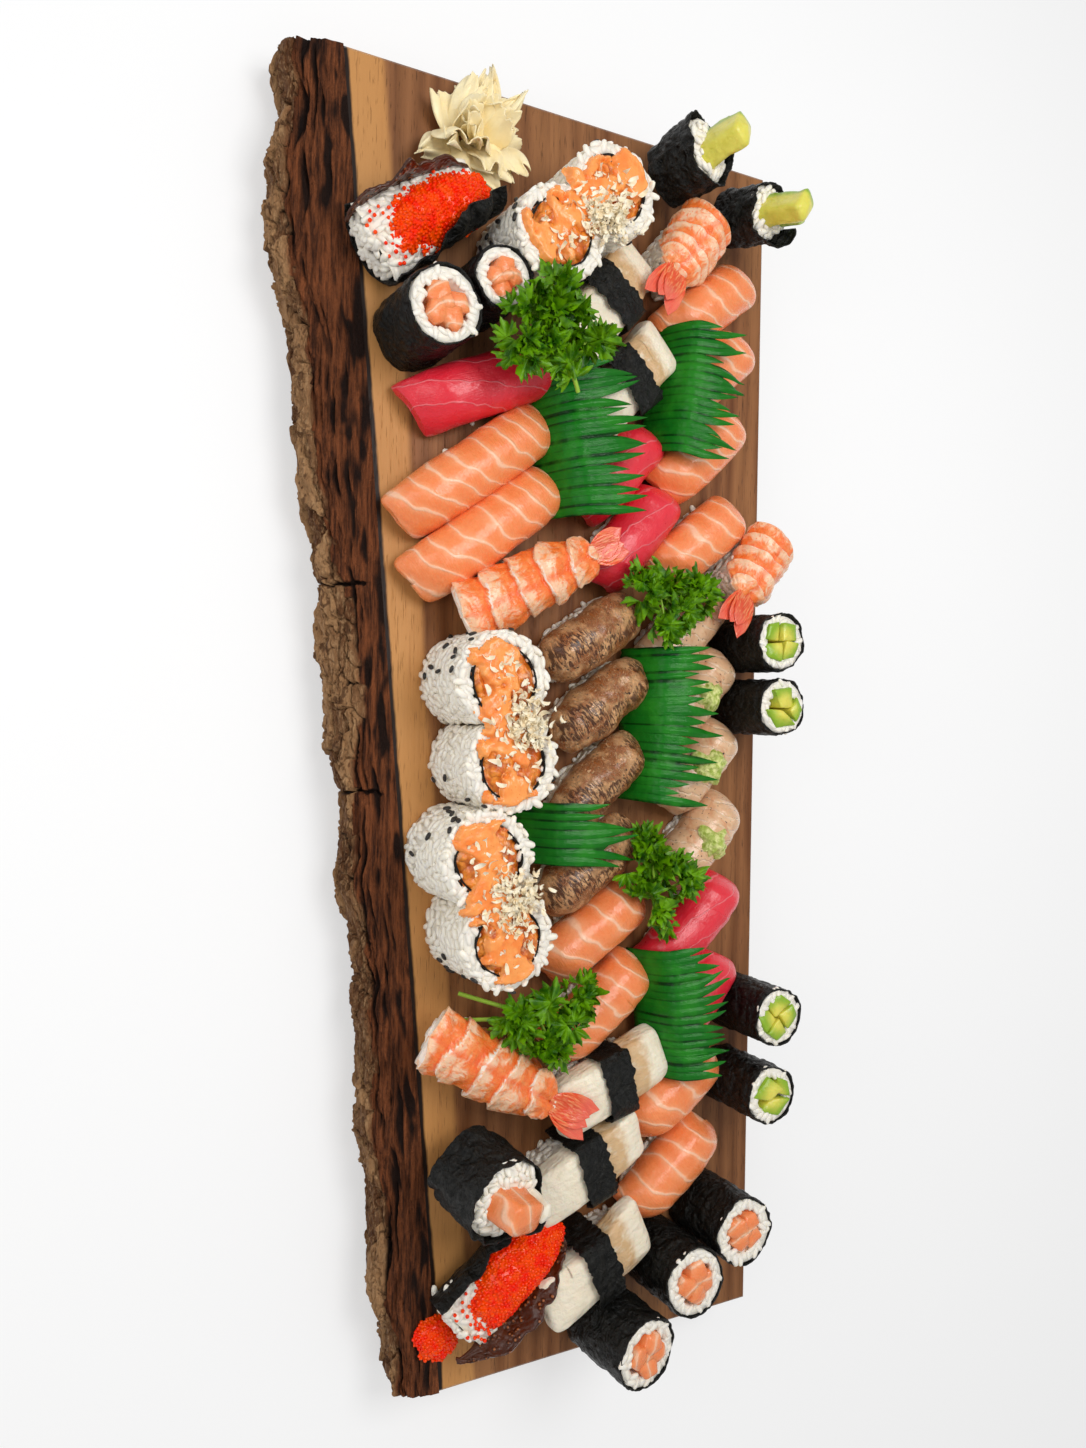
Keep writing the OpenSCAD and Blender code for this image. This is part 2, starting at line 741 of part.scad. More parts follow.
module pickled_ginger() {
    top = [for (k = [1 : ginger_rings - 2], j = [0 : ginger_spokes - 1]) ginger_point(k, j)];
    n = ginger_spokes;
    rings = ginger_rings - 2;
    function at(k, j) = k * n + j % n;
    cap = rings * n;
    crest = ginger_l * (ginger_up_share + ginger_dip_share);
    points = concat(top, [[0, 0, crest], [0, 0, 0]]);
    floor_points = [for (p = points) [p[0], p[1], max(0, p[2])]];
    faces = concat(
        [for (k = [0 : rings - 2], j = [0 : n - 1], half = [0, 1])
            half == 0 ? [at(k, j), at(k + 1, j + 1), at(k + 1, j)]
                : [at(k, j), at(k, j + 1), at(k + 1, j + 1)]],
        [for (j = [0 : n - 1]) [cap, at(0, j + 1), at(0, j)]],
        [for (j = [0 : n - 1]) [cap + 1, at(rings - 1, j), at(rings - 1, j + 1)]]);
    color("khaki")
        translate(on_board(ginger_place_shares)) polyhedron(floor_points, faces, convexity = 8);
}

// Parsley: sprigs of frilled leaves on a branching stem. Each sprig has its place in cells,
// its turn, its size as a share, 1 where it lies on rolls or 0 where it lies on slices, and how
// far it sinks between those as a share of a slice's thickness
sprig_place_shares = [[-2.56, -2.19, 20, 1.35, 1, 0], [-0.94, -1.10, 60, 1.15, 0, 0],
    [0.92, -1.14, -20, 1.15, 0, 0.4], [1.80, -1.96, 75, 1.2, 0, 0.15]];
// The leaves of a sprig: along the stem and across it in leaf widths, and the leaf's turn
leaf_place_shares = [[1.5, 0, 0], [1.05, 0.62, 50], [1.05, -0.62, -50], [0.45, 0.95, 95],
    [0.45, -0.95, -95], [0.35, 0, 10]];
frills = 7;
// Round a leaf: the sector that its frills fill, its mean radius, the depth of its teeth and how
// much further its tip reaches, the last three as shares of half its width
leaf_sector = 300;
leaf_form_shares = [0.72, 0.28, 0.12];
stem_share = 1.8;
leaf_rise = 12;
leaf_rise_step = 6;

// A leaf with its stalk at the origin: round, with deep teeth round its rim
function leaf_outline(w) = [
    for (i = [0 : 4 * frills])
        let (a = leaf_sector * (i / (4 * frills) - 1 / 2),
            r = w / 2 * leaf_form_shares * [1, cos(90 * i), cos(a)])
        [w / 4 + r * cos(a), r * sin(a)]];

module leaf(w) {
    linear_extrude(leaf_t) polygon(concat([[0, 0]], leaf_outline(w)));
}

module sprig(size) {
    w = size * leaf_w;
    // A flat stem carries the leaves, which tilt up from it in turn
    rotate([0, 90, 0]) cylinder(stem_share * w, stem_d / 2, stem_d / 2);
    for (i = [0 : len(leaf_place_shares) - 1])
        let (p = leaf_place_shares[i])
            translate([p[0] * w, p[1] * w / 2, (i % 3) * leaf_t])
                rotate([0, -leaf_rise - leaf_rise_step * (i % 3), p[2]]) translate([-w / 4, 0, 0]) leaf(w);
}

module parsley() {
    color("forestgreen")
        for (place = sprig_place_shares)
            translate(on_board(place)
                + [0, 0, (place[4] == 1 ? pair_roll_h : nigiri_h) - place[5] * slice_t
                    + stem_d / 2 + fit_gap])
                rotate(place[2]) translate([-place[3] * leaf_w, 0, 0]) sprig(place[3]);
}

// Dividers cut like grass. Each has its place in cells, its turn along the row, its count of
// blades, and how far it sinks under the crowns of the slices as a share of their thickness
divider_place_shares = [[-1.98, -1.86, 10, 19, 0.4], [-2.33, -1.10, -8, 18, 0.28],
    [-0.12, -1.14, -3, 21, 0.4], [0.60, -2.02, 0, 8, 0.85], [1.80, -1.16, 8, 18, 0.15]];
divider_tilt = 14;

// A comb of pointed blades, the middle ones taller: the end blades' length and the depth of the
// gaps as shares of the tallest blade
end_blade_share = 0.72;
comb_gap_share = 0.5;
function comb_outline(count) = concat(
    [[0, 0]],
    [for (i = [0 : 2 * count])
        let (s = i / (2 * count), tall = end_blade_share + (1 - end_blade_share) * sin(180 * s))
        [i * blade_w / 2, blade_l * (i % 2 == 0 ? comb_gap_share : 1) * tall]],
    [[count * blade_w, 0]]);

module grass_dividers() {
    color("green")
        for (place = divider_place_shares)
            translate(on_board(place) + [0, 0, nigiri_h + fit_gap - place[4] * slice_t])
                rotate(place[2]) rotate([divider_tilt, 0, 0])
                    translate([-place[3] * blade_w / 2, 0, 0])
                        linear_extrude(divider_t) polygon(comb_outline(place[3]));
}

board_slab();
live_edge_bark();
for (i = [0 : len(salmon_place_shares) - 1])
    salmon_slice(salmon_place_shares[i]);
for (i = [0 : len(tuna_place_shares) - 1])
    tuna_slice(tuna_place_shares[i]);
for (i = [0 : len(prawn_place_shares) - 1])
    prawn(prawn_place_shares[i]);
for (i = [0 : len(seared_place_shares) - 1])
    seared_slice(seared_place_shares[i]);
for (i = [0 : len(white_place_shares) - 1])
    white_fish_slice(white_place_shares[i]);
for (i = [0 : len(squid_place_shares) - 1])
    squid_slice(squid_place_shares[i]);
rice_pads(salmon_place_shares, slice_w, slice_t, nigiri_h);  // salmon_rice
rice_pads(tuna_place_shares, slice_w, slice_t, nigiri_h);  // tuna_rice
rice_pads(prawn_place_shares, slice_w, slice_t, prawn_h, prawn_bend_share);  // prawn_rice
rice_pads(seared_place_shares, slice_w, slice_t, nigiri_h);  // seared_rice
rice_pads(white_place_shares, slice_w, slice_t, nigiri_h);  // white_fish_rice
rice_pads(squid_place_shares, squid_w_share * slice_w, squid_t, squid_h,  // squid_rice
        crown = squid_crown_share);
squid_nori_bands();
wasabi_dabs();
roll_nori();
roll_rice();
roll_salmon();
roll_avocado();
pair_roll_rice();
pair_roll_nori();
pair_roll_filling();
spicy_sauce();
batter_flakes();
hand_roll_nori();
hand_roll_rice();
hand_roll_salmon();
hand_roll_avocado();
roe();
crisp_skins();
pickled_ginger();
parsley();
grass_dividers();
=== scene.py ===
"""A live-edge board laid with sushi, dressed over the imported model.

Lengths are millimetres until MM turns them into Blender's metres. Places and sizes are read
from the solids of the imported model, so that each piece lies where its solid does."""

import bpy
import numpy as np
from mathutils import Matrix, Vector


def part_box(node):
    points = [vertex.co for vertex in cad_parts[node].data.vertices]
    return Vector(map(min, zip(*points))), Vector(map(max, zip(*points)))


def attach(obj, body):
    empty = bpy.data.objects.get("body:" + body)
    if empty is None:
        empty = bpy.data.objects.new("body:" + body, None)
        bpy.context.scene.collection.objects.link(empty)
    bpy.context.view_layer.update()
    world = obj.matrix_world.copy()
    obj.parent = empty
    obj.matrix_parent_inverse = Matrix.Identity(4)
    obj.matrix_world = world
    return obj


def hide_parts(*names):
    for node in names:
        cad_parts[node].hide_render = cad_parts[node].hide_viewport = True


MM = 0.001
BODY = "root"
# Shares that the solids were drawn with
RICE_L_SHARE, RICE_W_SHARE, BEND_SHARE, PRAWN_BEND = 0.88, 0.9, 1.9, 3.2
# How tightly slices arch over their rice, and how far they reach down from the crown
ARCH_SHARE, REACH_SHARE = 0.54, 1.08
# How wide a point of the dividers' comb is, and the random draw that the ginger uses
GRASS_PITCH = 2.9
GINGER_DRAW = 5
# How large each prawn's tail fan is against an ordinary one
TAIL_SIZES = (1.05, 1.35, 1.3, 1.45)
# How thick the modelled sheets are
NORI_SHEET, SKIN_SHEET, PETAL_SHEET, FILM_SHEET = 0.5, 0.9, 0.4, 0.25
# How thick slices and squid are, and how much larger the squid is than the bed that it covers
SLICE_T, SQUID_T = 4.2, 10.0
SQUID_SPREAD = (1.08, 1.05)
# How near a roll's core lies to it, how near a crisp skin lies to its boat's rice, and how far
# from the boats roe is a spill
CORE_NEAR, SKIN_NEAR, SPILL_FAR = 6, 14, 20
# How far inside the outline of a pair of rolls their nori and their filling lie
SHEET_INSET, FILLING_INSET = 4.3, 4.9
# How many grains spill out of a boat, how many eggs of roe stray over its rice, how many petals
# the ginger has, and how many sesame seeds lie on a pair of rolls
SPILT_GRAINS, STRAY_EGGS, PETALS, SEEDS = 60, 110, 24, 34
# How far apart grains of rice and beads of roe lie
HEAP_SPACING, ROE_SPACING = 2.2, 1.02
# For each divider from left to right: how deep its film is, as a share of the comb that it
# stands for, and how far its middle lies from the comb's, across and along it
FILM = ((1.35, 1.0, -7.0), (1.75, -2.0, 0.0), (1.3, -5.0, 0.0), (1.9, 4.0, 0.0), (1.35, 3.0, 5.0))

# ---------------------------------------------------------------- numbers and meshes


def noise(p, size, seed=0):
    """Smooth noise from -1 to 1 at the points p, whose bumps are about size across."""
    q = np.asarray(p, float) / size + 13.7 * (seed + 1)
    cell = np.floor(q).astype(np.int64)
    f = q - cell
    f = f * f * (3 - 2 * f)
    total = 0.0
    for corner in np.ndindex(2, 2, 2):
        c = cell + corner
        n = c[..., 0] * 73856093 ^ c[..., 1] * 19349663 ^ c[..., 2] * 83492791
        n = (n ^ (n >> 13)) * 1274126177
        n = (n ^ (n >> 16)) & 0xFFFF
        weight = np.prod(np.where(np.array(corner, bool), f, 1 - f), axis=-1)
        total = total + weight * (n / 32767.5 - 1)
    return total


def rough(p, size, octaves=3, seed=0):
    """Noise with finer bumps on its bumps."""
    return sum(noise(p, size / 2**k, seed + k) / 2**k for k in range(octaves))


def points(x, y, z=0.0):
    """Coordinates of any matching shapes as points."""
    return np.stack(np.broadcast_arrays(x, y, z), axis=-1).astype(float)


def grid_faces(rows, cols, wrap=False):
    """The quads of a grid of points, row by row; wrap joins its last column to its first."""
    i, j = np.meshgrid(np.arange(rows - 1), np.arange(cols if wrap else cols - 1), indexing="ij")
    k = (j + 1) % cols
    quads = np.stack([i * cols + j, i * cols + k, (i + 1) * cols + k, (i + 1) * cols + j], axis=-1)
    return quads.reshape(-1, 4)


def superellipse(angle, power):
    """Points round a curve between a circle (power 2) and a square."""
    c, s = np.cos(angle), np.sin(angle)
    return np.sign(c) * np.abs(c) ** (2 / power), np.sign(s) * np.abs(s) ** (2 / power)


def unit(v):
    """Vectors, one to a row, at a length of one."""
    return v / np.maximum(np.linalg.norm(v, axis=1, keepdims=True), 1e-9)


def column(low, high, count):
    """Numbers from low to high, one to each row of a grid of points."""
    return np.linspace(low, high, count)[:, None]


def circle(count):
    """Angles all round, one to each column of a grid of points."""
    return np.linspace(0, 2 * np.pi, count, endpoint=False)


def polar(r, angle, z):
    return points(r * np.cos(angle), r * np.sin(angle), z)


def triangles(quads):
    return np.concatenate([quads[:, [0, 1, 2]], quads[:, [0, 2, 3]]])


def sheet(rows, columns, down=(0, 1), across=(-1, 1)):
    """Numbers down and across a sheet of points, and its faces."""
    return column(*down, rows), np.linspace(*across, columns), grid_faces(rows, columns)


def ring(rows, around, down=(0, 1)):
    """Numbers down a closed band of points, the angles round it, and its faces."""
    return column(*down, rows), circle(around), grid_faces(rows, around, wrap=True)


def shell(rows, around, power, down=(0, 1)):
    """Numbers along a closed body, its section's two coordinates, and its faces."""
    s, a, faces = ring(rows, around, down)
    return s, *superellipse(a, power), faces


def softened(row, times):
    """A closed row of numbers or points with its corners rounded off."""
    for _ in range(times):
        row = (np.roll(row, 1, 0) + 2 * row + np.roll(row, -1, 0)) / 4
    return row


def joined(parts):
    """Several (points, faces) pairs as one."""
    verts, faces, start = [], [], 0
    for v, f in parts:
        verts.append(v.reshape(-1, 3))
        faces.append(np.asarray(f) + start)
        start += len(verts[-1])
    return np.concatenate(verts), faces


def copies(shape, frames):
    """A (points, faces) shape repeated in each of the frames, an (n, 3, 4) array."""
    verts, faces = shape
    verts = verts.reshape(-1, 3)
    placed = np.einsum("nij,vj->nvi", frames[:, :, :3], verts) + frames[:, None, :, 3]
    step = len(verts) * np.arange(len(frames))[:, None, None]
    return placed.reshape(-1, 3), (faces[None] + step).reshape(-1, faces.shape[1])


def make_mesh(name, verts, faces):
    """A mesh from points in millimetres and one or more arrays of faces."""
    groups = [np.asarray(g) for g in (faces if isinstance(faces, list) else [faces]) if len(g)]
    sizes = np.concatenate([np.full(len(g), g.shape[1]) for g in groups])
    loops = np.concatenate([g.ravel() for g in groups]).astype(np.int32)
    mesh = bpy.data.meshes.new(name)
    mesh.vertices.add(verts.size // 3)
    mesh.vertices.foreach_set("co", np.asarray(verts, np.float32).ravel() * MM)
    mesh.loops.add(len(loops))
    mesh.polygons.add(len(sizes))
    mesh.polygons.foreach_set("loop_start", (np.cumsum(sizes) - sizes).astype(np.int32))
    mesh.polygons.foreach_set("vertices", loops)
    mesh.update(calc_edges=True)
    mesh.validate()
    mesh.polygons.foreach_set("use_smooth", np.ones(len(mesh.polygons), bool))
    return mesh


def added(name, data):
    """A new object of the scene."""
    obj = bpy.data.objects.new(name, data)
    bpy.context.scene.collection.objects.link(obj)
    return obj


def piece(name, shape, material, place=None, replaces=(), thickness=0.0):
    """Adds a piece of the object from (points, faces); thickness thickens a sheet."""
    obj = added(name, make_mesh(name, *shape))
    if place is not None:
        obj.matrix_world = place
    obj.data.materials.append(material)
    if thickness:
        solid = obj.modifiers.new("thickness", "SOLIDIFY")
        solid.thickness = thickness * MM
        solid.offset = 0
    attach(obj, BODY)
    if replaces:
        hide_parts(*replaces)
    return obj


def paint(obj, name, values):
    """Stores one number at each point of a piece, which its material reads."""
    layer = obj.data.attributes.new(name, "FLOAT", "POINT")
    layer.data.foreach_set("value", np.ascontiguousarray(values, np.float32).ravel())


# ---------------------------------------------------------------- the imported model

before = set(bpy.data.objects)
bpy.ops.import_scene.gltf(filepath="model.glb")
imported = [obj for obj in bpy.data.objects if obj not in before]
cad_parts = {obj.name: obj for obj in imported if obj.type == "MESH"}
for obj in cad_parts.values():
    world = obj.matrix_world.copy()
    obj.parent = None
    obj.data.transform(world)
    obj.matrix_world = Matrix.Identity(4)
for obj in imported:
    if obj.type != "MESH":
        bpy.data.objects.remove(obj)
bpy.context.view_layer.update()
BOARD_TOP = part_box("board_slab")[1].z / MM


def node_mesh(node):
    """The corner points of a CAD node in millimetres, without doubles, and its triangles."""
    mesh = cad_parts[node].data
    co = np.zeros(len(mesh.vertices) * 3)
    mesh.vertices.foreach_get("co", co)
    co = np.round(co.reshape(-1, 3) / MM, 3)
    mesh.calc_loop_triangles()
    tri = np.zeros(len(mesh.loop_triangles) * 3, np.int32)
    mesh.loop_triangles.foreach_get("vertices", tri)
    co, same = np.unique(co, axis=0, return_inverse=True)
    return co, same.ravel()[tri].reshape(-1, 3)


def solids(node):
    """The separate solids of a CAD node as (points, triangles), from left to right."""
    co, tri = node_mesh(node)
    label = np.arange(len(co))
    ends = np.concatenate([tri[:, :2], tri[:, 1:]])
    while True:
        low = np.minimum(label[ends[:, 0]], label[ends[:, 1]])
        new = label.copy()
        np.minimum.at(new, ends[:, 0], low)
        np.minimum.at(new, ends[:, 1], low)
        new = new[new]
        if (new == label).all():
            break
        label = new
    found = []
    for k in np.unique(label[tri[:, 0]]):
        mine = tri[label[tri[:, 0]] == k]
        used, index = np.unique(mine, return_inverse=True)
        found.append((co[used], index.reshape(-1, 3)))
    return sorted(found, key=lambda s: tuple(s[0].mean(0).round(2)))


def middle(p):
    return (p.min(0) + p.max(0)) / 2


def long_turn(p):
    """The turn about Z of a set of points' long direction, in radians."""
    flat = p[:, :2] - p[:, :2].mean(0)
    _, vectors = np.linalg.eigh(flat.T @ flat)
    return np.arctan2(vectors[1, 1], vectors[0, 1])


def extent(p, turn):
    """The length and the width of points along and across a turn, and their middle."""
    axes = np.array([[np.cos(turn), np.sin(turn)], [-np.sin(turn), np.cos(turn)]])
    local = p[:, :2] @ axes.T
    low, high = local.min(0), local.max(0)
    return high - low, axes.T @ ((low + high) / 2)


def laid(p):
    """The turn of points' long direction, their length and width there, and their middle."""
    turn = long_turn(p)
    return turn, *extent(p, turn)


def placed(x, y, z, turn=0.0, tilt=0.0):
    """A place in metres: a turn about Z, then a lean of the Z axis towards that turn."""
    return (Matrix.Translation(Vector((x, y, z)) * MM)
            @ Matrix.Rotation(turn, 4, "Z") @ Matrix.Rotation(tilt, 4, "Y"))


# ---------------------------------------------------------------- materials


def operation(name, swapped=False):
    """What a Num does for one of Python's signs."""

    def apply(self, other):
        return self.shader.math(name, *((other, self) if swapped else (self, other)))

    return apply


class Num:
    """A number that varies over a surface, so that a material reads as a formula."""

    def __init__(self, shader, socket):
        self.shader, self.socket = shader, socket

    __add__ = __radd__ = operation("ADD")
    __mul__ = __rmul__ = operation("MULTIPLY")
    __truediv__ = operation("DIVIDE")
    __sub__, __rsub__ = operation("SUBTRACT"), operation("SUBTRACT", swapped=True)

    def __abs__(self):
        return self.shader.math("ABSOLUTE", self)

    def saw(self):
        """How far this is from the nearest whole number, from 0 to a half."""
        return abs(self.shader.math("FRACT", self) - 0.5) * -1 + 0.5

    def step(self, low, high):
        """0 up to low, 1 from high, smooth between; low may be the higher one."""
        return self.shader.fit(self, low, high)


class Shader:
    """A material whose look is worked out by nodes; x, y and z are its millimetres, and coat
    is the weight and the roughness of its wet coat."""

    def __init__(self, name, coat=(0.0, 0.03), **constants):
        constants.update(Coat_Weight=coat[0], Coat_Roughness=coat[1])
        self.material = bpy.data.materials.new(name)
        self.material.use_nodes = True
        self.tree = self.material.node_tree
        self.bsdf = self.tree.nodes["Principled BSDF"]
        for key, value in constants.items():
            self.put(self.bsdf.inputs[key.replace("_", " ")], value)
        self.coords = self.node("ShaderNodeTexCoord").outputs["Object"]
        split = self.node("ShaderNodeSeparateXYZ", {0: self.coords})
        self.x, self.y, self.z = (Num(self, split.outputs[k]) * (1 / MM) for k in range(3))

    def node(self, kind, inputs=None, **settings):
        node = self.tree.nodes.new(kind)
        for key, value in settings.items():
            setattr(node, key, value)
        for key, value in (inputs or {}).items():
            self.put(node.inputs[key], value)
        return node

    def put(self, socket, value):
        if isinstance(value, Num):
            value = value.socket
        if isinstance(value, bpy.types.NodeSocket):
            self.tree.links.new(value, socket)
        elif isinstance(value, tuple) and socket.type == "RGBA":
            socket.default_value = (*value, 1)
        else:
            socket.default_value = value

    def math(self, operation, *args):
        node = self.node("ShaderNodeMath", dict(enumerate(args)), operation=operation)
        return Num(self, node.outputs[0])

    def fit(self, value, low, high):
        node = self.node("ShaderNodeMapRange", {"Value": value, "From Min": low, "From Max": high},
                         interpolation_type="SMOOTHSTEP")
        return Num(self, node.outputs[0])

    def scaled(self, size, stretch):
        return self.node("ShaderNodeMapping", {
            "Vector": self.coords, "Scale": tuple(1 / (MM * size * s) for s in stretch)}).outputs[0]

    def noise(self, size, stretch=(1, 1, 1), detail=3.0, roughness=0.55, distortion=0.0):
        """Noise from 0 to 1 whose bumps are about size across, stretched along each axis."""
        node = self.node("ShaderNodeTexNoise", {
            "Vector": self.scaled(size, stretch), "Scale": 1.0, "Detail": detail,
            "Roughness": roughness, "Distortion": distortion})
        return Num(self, node.outputs[0])

    def cells(self, size):
        """Distance from the middle of cells about size across."""
        node = self.node("ShaderNodeTexVoronoi", {
            "Vector": self.scaled(size, (1, 1, 1)), "Scale": 1.0})
        return Num(self, node.outputs["Distance"])

    def attribute(self, name):
        return Num(self, self.node("ShaderNodeAttribute", attribute_name=name).outputs["Fac"])

    def mix(self, factor, a, b):
        node = self.node("ShaderNodeMix", data_type="RGBA")
        self.put(node.inputs[0], factor)
        self.put(node.inputs[6], a)
        self.put(node.inputs[7], b)
        return node.outputs[2]

    def finish(self, colour, roughness=None, bump=()):
        """bump holds (height from 0 to 1, its depth in millimetres) pairs, and a negative depth
        presses the height in."""
        self.put(self.bsdf.inputs["Base Color"], colour)
        if roughness is not None:
            self.put(self.bsdf.inputs["Roughness"], roughness)
        normal = None
        for height, depth in bump:
            inputs = {"Height": height, "Distance": abs(depth) * MM, "Strength": 1.0}
            if normal is not None:
                inputs["Normal"] = normal
            normal = self.node("ShaderNodeBump", inputs, invert=depth < 0).outputs[0]
        if normal is not None:
            self.put(self.bsdf.inputs["Normal"], normal)
        return self.material


def flesh(name, roughness=0.28, depth=1.2, weight=0.18, radius=(1.0, 0.5, 0.3), **more):
    """The start of a moist, slightly translucent material."""
    return Shader(name, Roughness=roughness, Subsurface_Weight=weight,
                  Subsurface_Scale=depth * MM, Subsurface_Radius=radius, **more)


def salmon_material(name, spacing=9.5, lean=0.6, shift=0.0):
    s = flesh(name, 0.3, coat=(0.22, 0.08))
    wander = s.noise(16.0, detail=1.5)
    along = (s.x + s.y * lean - s.y * s.y * 0.04) / spacing + wander * 1.5 + shift
    line = along.saw()
    width = s.noise(7.0, detail=1.0)
    fat = (line - width * 0.1).step(0.06, -0.03)
    halo = line.step(0.34, 0.03) * 0.5
    fibres = s.noise(0.8, (0.35, 6, 1), detail=2.0)
    body = s.mix(s.noise(14.0), (0.86, 0.19, 0.045), (0.95, 0.3, 0.1))
    body = s.mix(fibres.step(0.45, 0.8) * 0.35, body, (0.96, 0.42, 0.18))
    body = s.mix(halo, body, (0.96, 0.42, 0.2))
    body = s.mix(fat * 0.7, body, (0.97, 0.62, 0.42))
    return s.finish(body, s.noise(2.0) * 0.3 + 0.12,
                    [(fat, 0.15), (fibres, 0.14), (s.noise(5.0), 0.5)])


def tuna_material():
    s = flesh("tuna", 0.25, coat=(0.2, 0.08))
    wander = s.noise(12.0, detail=2.0)
    sinew = ((s.x * 0.35 + s.y + wander * 6) / 7.5).saw().step(0.045, 0.008)
    fibres = s.noise(0.8, (5, 0.4, 1), detail=2.0)
    body = s.mix(s.noise(11.0), (0.66, 0.009, 0.024), (0.9, 0.032, 0.057))
    body = s.mix(fibres.step(0.5, 0.8) * 0.35, body, (0.78, 0.09, 0.12))
    body = s.mix(sinew * 0.5, body, (0.85, 0.28, 0.3))
    return s.finish(body, s.noise(2.5) * 0.15 + 0.22,
                    [(sinew, 0.12), (fibres, 0.14), (s.noise(6.0), 0.5)])


def seared_material():
    s = flesh("seared_fish", 0.4, coat=(0.18, 0.1))
    patches = s.noise(13.0, detail=2.0, distortion=0.5).step(0.46, 0.52)
    streaks = s.noise(3.0, (0.45, 2.0, 1), 4.0, 0.6, 1.8).step(0.47, 0.53)
    swirl = (s.noise(6.0, (0.8, 1, 1), detail=1.0, distortion=2.5) * 8).saw()
    veins = swirl.step(0.13, 0.03)
    middle_strip = abs(s.y + s.noise(7.0) * 6 - 3).step(8.5, 5.5)
    body = s.mix(s.noise(7.0).step(0.4, 0.58), (0.34, 0.11, 0.028), (0.68, 0.36, 0.16))
    body = s.mix(swirl.step(0.4, 0.95) * 0.5, body, (0.3, 0.085, 0.02))
    body = s.mix(veins * 0.75, body, (0.8, 0.52, 0.28))
    dark = patches * streaks * (middle_strip * 0.85 + 0.15)
    body = s.mix(dark * 0.9, body, (0.07, 0.016, 0.004))
    body = s.mix(s.noise(1.1, detail=1.0).step(0.69, 0.75), body, (0.02, 0.009, 0.005))
    return s.finish(body, s.noise(2.0) * 0.2 + 0.22,
                    [(streaks, 0.25), (veins, 0.35), (s.noise(3.0), 0.5)])


def white_fish_material():
    s = flesh("white_fish", 0.27, 2.0, coat=(0.25, 0.1))
    grain = ((s.x + s.y * 0.5 + s.noise(7.0) * 6) / 5.0).saw()
    blush = s.noise(5.0, (1, 2, 1), distortion=1.0)
    body = s.mix(s.noise(6.0, detail=2.0), (0.6, 0.31, 0.15), (0.86, 0.6, 0.38))
    body = s.mix(grain.step(0.16, 0.0) * 0.6, body, (0.88, 0.66, 0.46))
    body = s.mix(blush.step(0.53, 0.68) * 0.7, body, (0.62, 0.28, 0.13))
    body = s.mix(s.noise(1.1, detail=1.0).step(0.7, 0.76), body, (0.04, 0.02, 0.012))
    return s.finish(body, None, [(grain.step(0.12, 0.0), -0.25), (s.noise(4.0), 0.6)])


def prawn_material():
    """inside and across, numbers on the mesh, say where in its segment and on the back a
    point is."""
    s = flesh("prawn", 0.25, 1.2, coat=(0.25, 0.08))
    inside, across = s.attribute("inside"), s.attribute("across")
    veins = s.noise(2.0, (2.2, 0.8, 1), distortion=2.0)
    blotch = s.noise(5.0, (1, 1.2, 1), roughness=0.6, distortion=1.4)
    light = (inside * 0.5 + blotch).step(0.84, 0.6)
    body = s.mix(light, (0.93, 0.2, 0.035), (0.96, 0.6, 0.38))
    body = s.mix(s.noise(2.6).step(0.5, 0.6) * 0.5, body, (0.95, 0.36, 0.11))
    body = s.mix(veins.step(0.57, 0.68) * 0.65, body, (0.92, 0.13, 0.015))
    body = s.mix(abs(across).step(0.09, 0.02) * 0.5, body, (0.92, 0.13, 0.02))
    body = s.mix(inside.step(0.86, 0.99) * 0.7, body, (0.9, 0.11, 0.015))
    body = s.mix(inside.step(0.08, 0.04) * blotch.step(0.42, 0.5) * 0.9, body, (0.96, 0.84, 0.74))
    body = s.mix((abs(across) + blotch * 0.1).step(0.95, 1.02) * 0.8, body, (0.95, 0.84, 0.74))
    return s.finish(body, s.noise(2.0) * 0.15 + 0.2, [(veins, 0.3), (blotch, 0.4)])


def prawn_tail_material():
    s = flesh("prawn_tail", 0.22, coat=(0.3, 0.08))
    ribs = s.noise(0.8, (6, 0.8, 1), detail=2.0)
    tip = (s.x + s.noise(2.0) * 2).step(8.0, 13.5)
    body = s.mix(ribs.step(0.4, 0.7), (0.82, 0.07, 0.015), (0.94, 0.3, 0.11))
    body = s.mix(tip * 0.8, body, (0.85, 0.14, 0.09))
    return s.finish(body, None, [(ribs, 0.4)])


def squid_material():
    s = flesh("squid", 0.4, 2.0, coat=(0.1, 0.12))
    stain = s.x + s.noise(5.0, detail=4.0) * 8 - 4
    near_band = stain.step(2.5, 4.0) * stain.step(16.0, 11.0)
    grain = s.noise(1.4, (6, 1, 1))
    body = s.mix(s.noise(6.0), (0.86, 0.74, 0.53), (0.95, 0.87, 0.72))
    mottle = s.noise(3.0, (2, 1, 1)).step(0.2, 0.5)
    body = s.mix(near_band * mottle * 0.8, body, (0.6, 0.34, 0.12))
    return s.finish(body, None, [(grain, 0.5), (s.noise(3.5), 0.8)])


def rice_material():
    s = flesh("rice", 0.34, 1.8, 0.25, (1.0, 0.85, 0.6), Specular_IOR_Level=0.35)
    body = s.mix(s.noise(4.0, detail=1.0), (0.95, 0.86, 0.71), (0.98, 0.93, 0.82))
    return s.finish(body, None, [(s.noise(0.9), 0.08)])


def nori_material():
    s = Shader("nori", Specular_IOR_Level=0.28)
    crinkle = s.noise(2.6, detail=5.0, roughness=0.6, distortion=0.8)
    folds = s.noise(7.0, detail=2.0, distortion=1.0)
    fibres = s.noise(0.6, roughness=0.7)
    body = s.mix(crinkle.step(0.35, 0.75), (0.0025, 0.003, 0.0025), (0.013, 0.012, 0.009))
    return s.finish(body, s.noise(1.6) * 0.35 + 0.18, [(crinkle, 2.0), (folds, 2.5), (fibres, 0.2)])


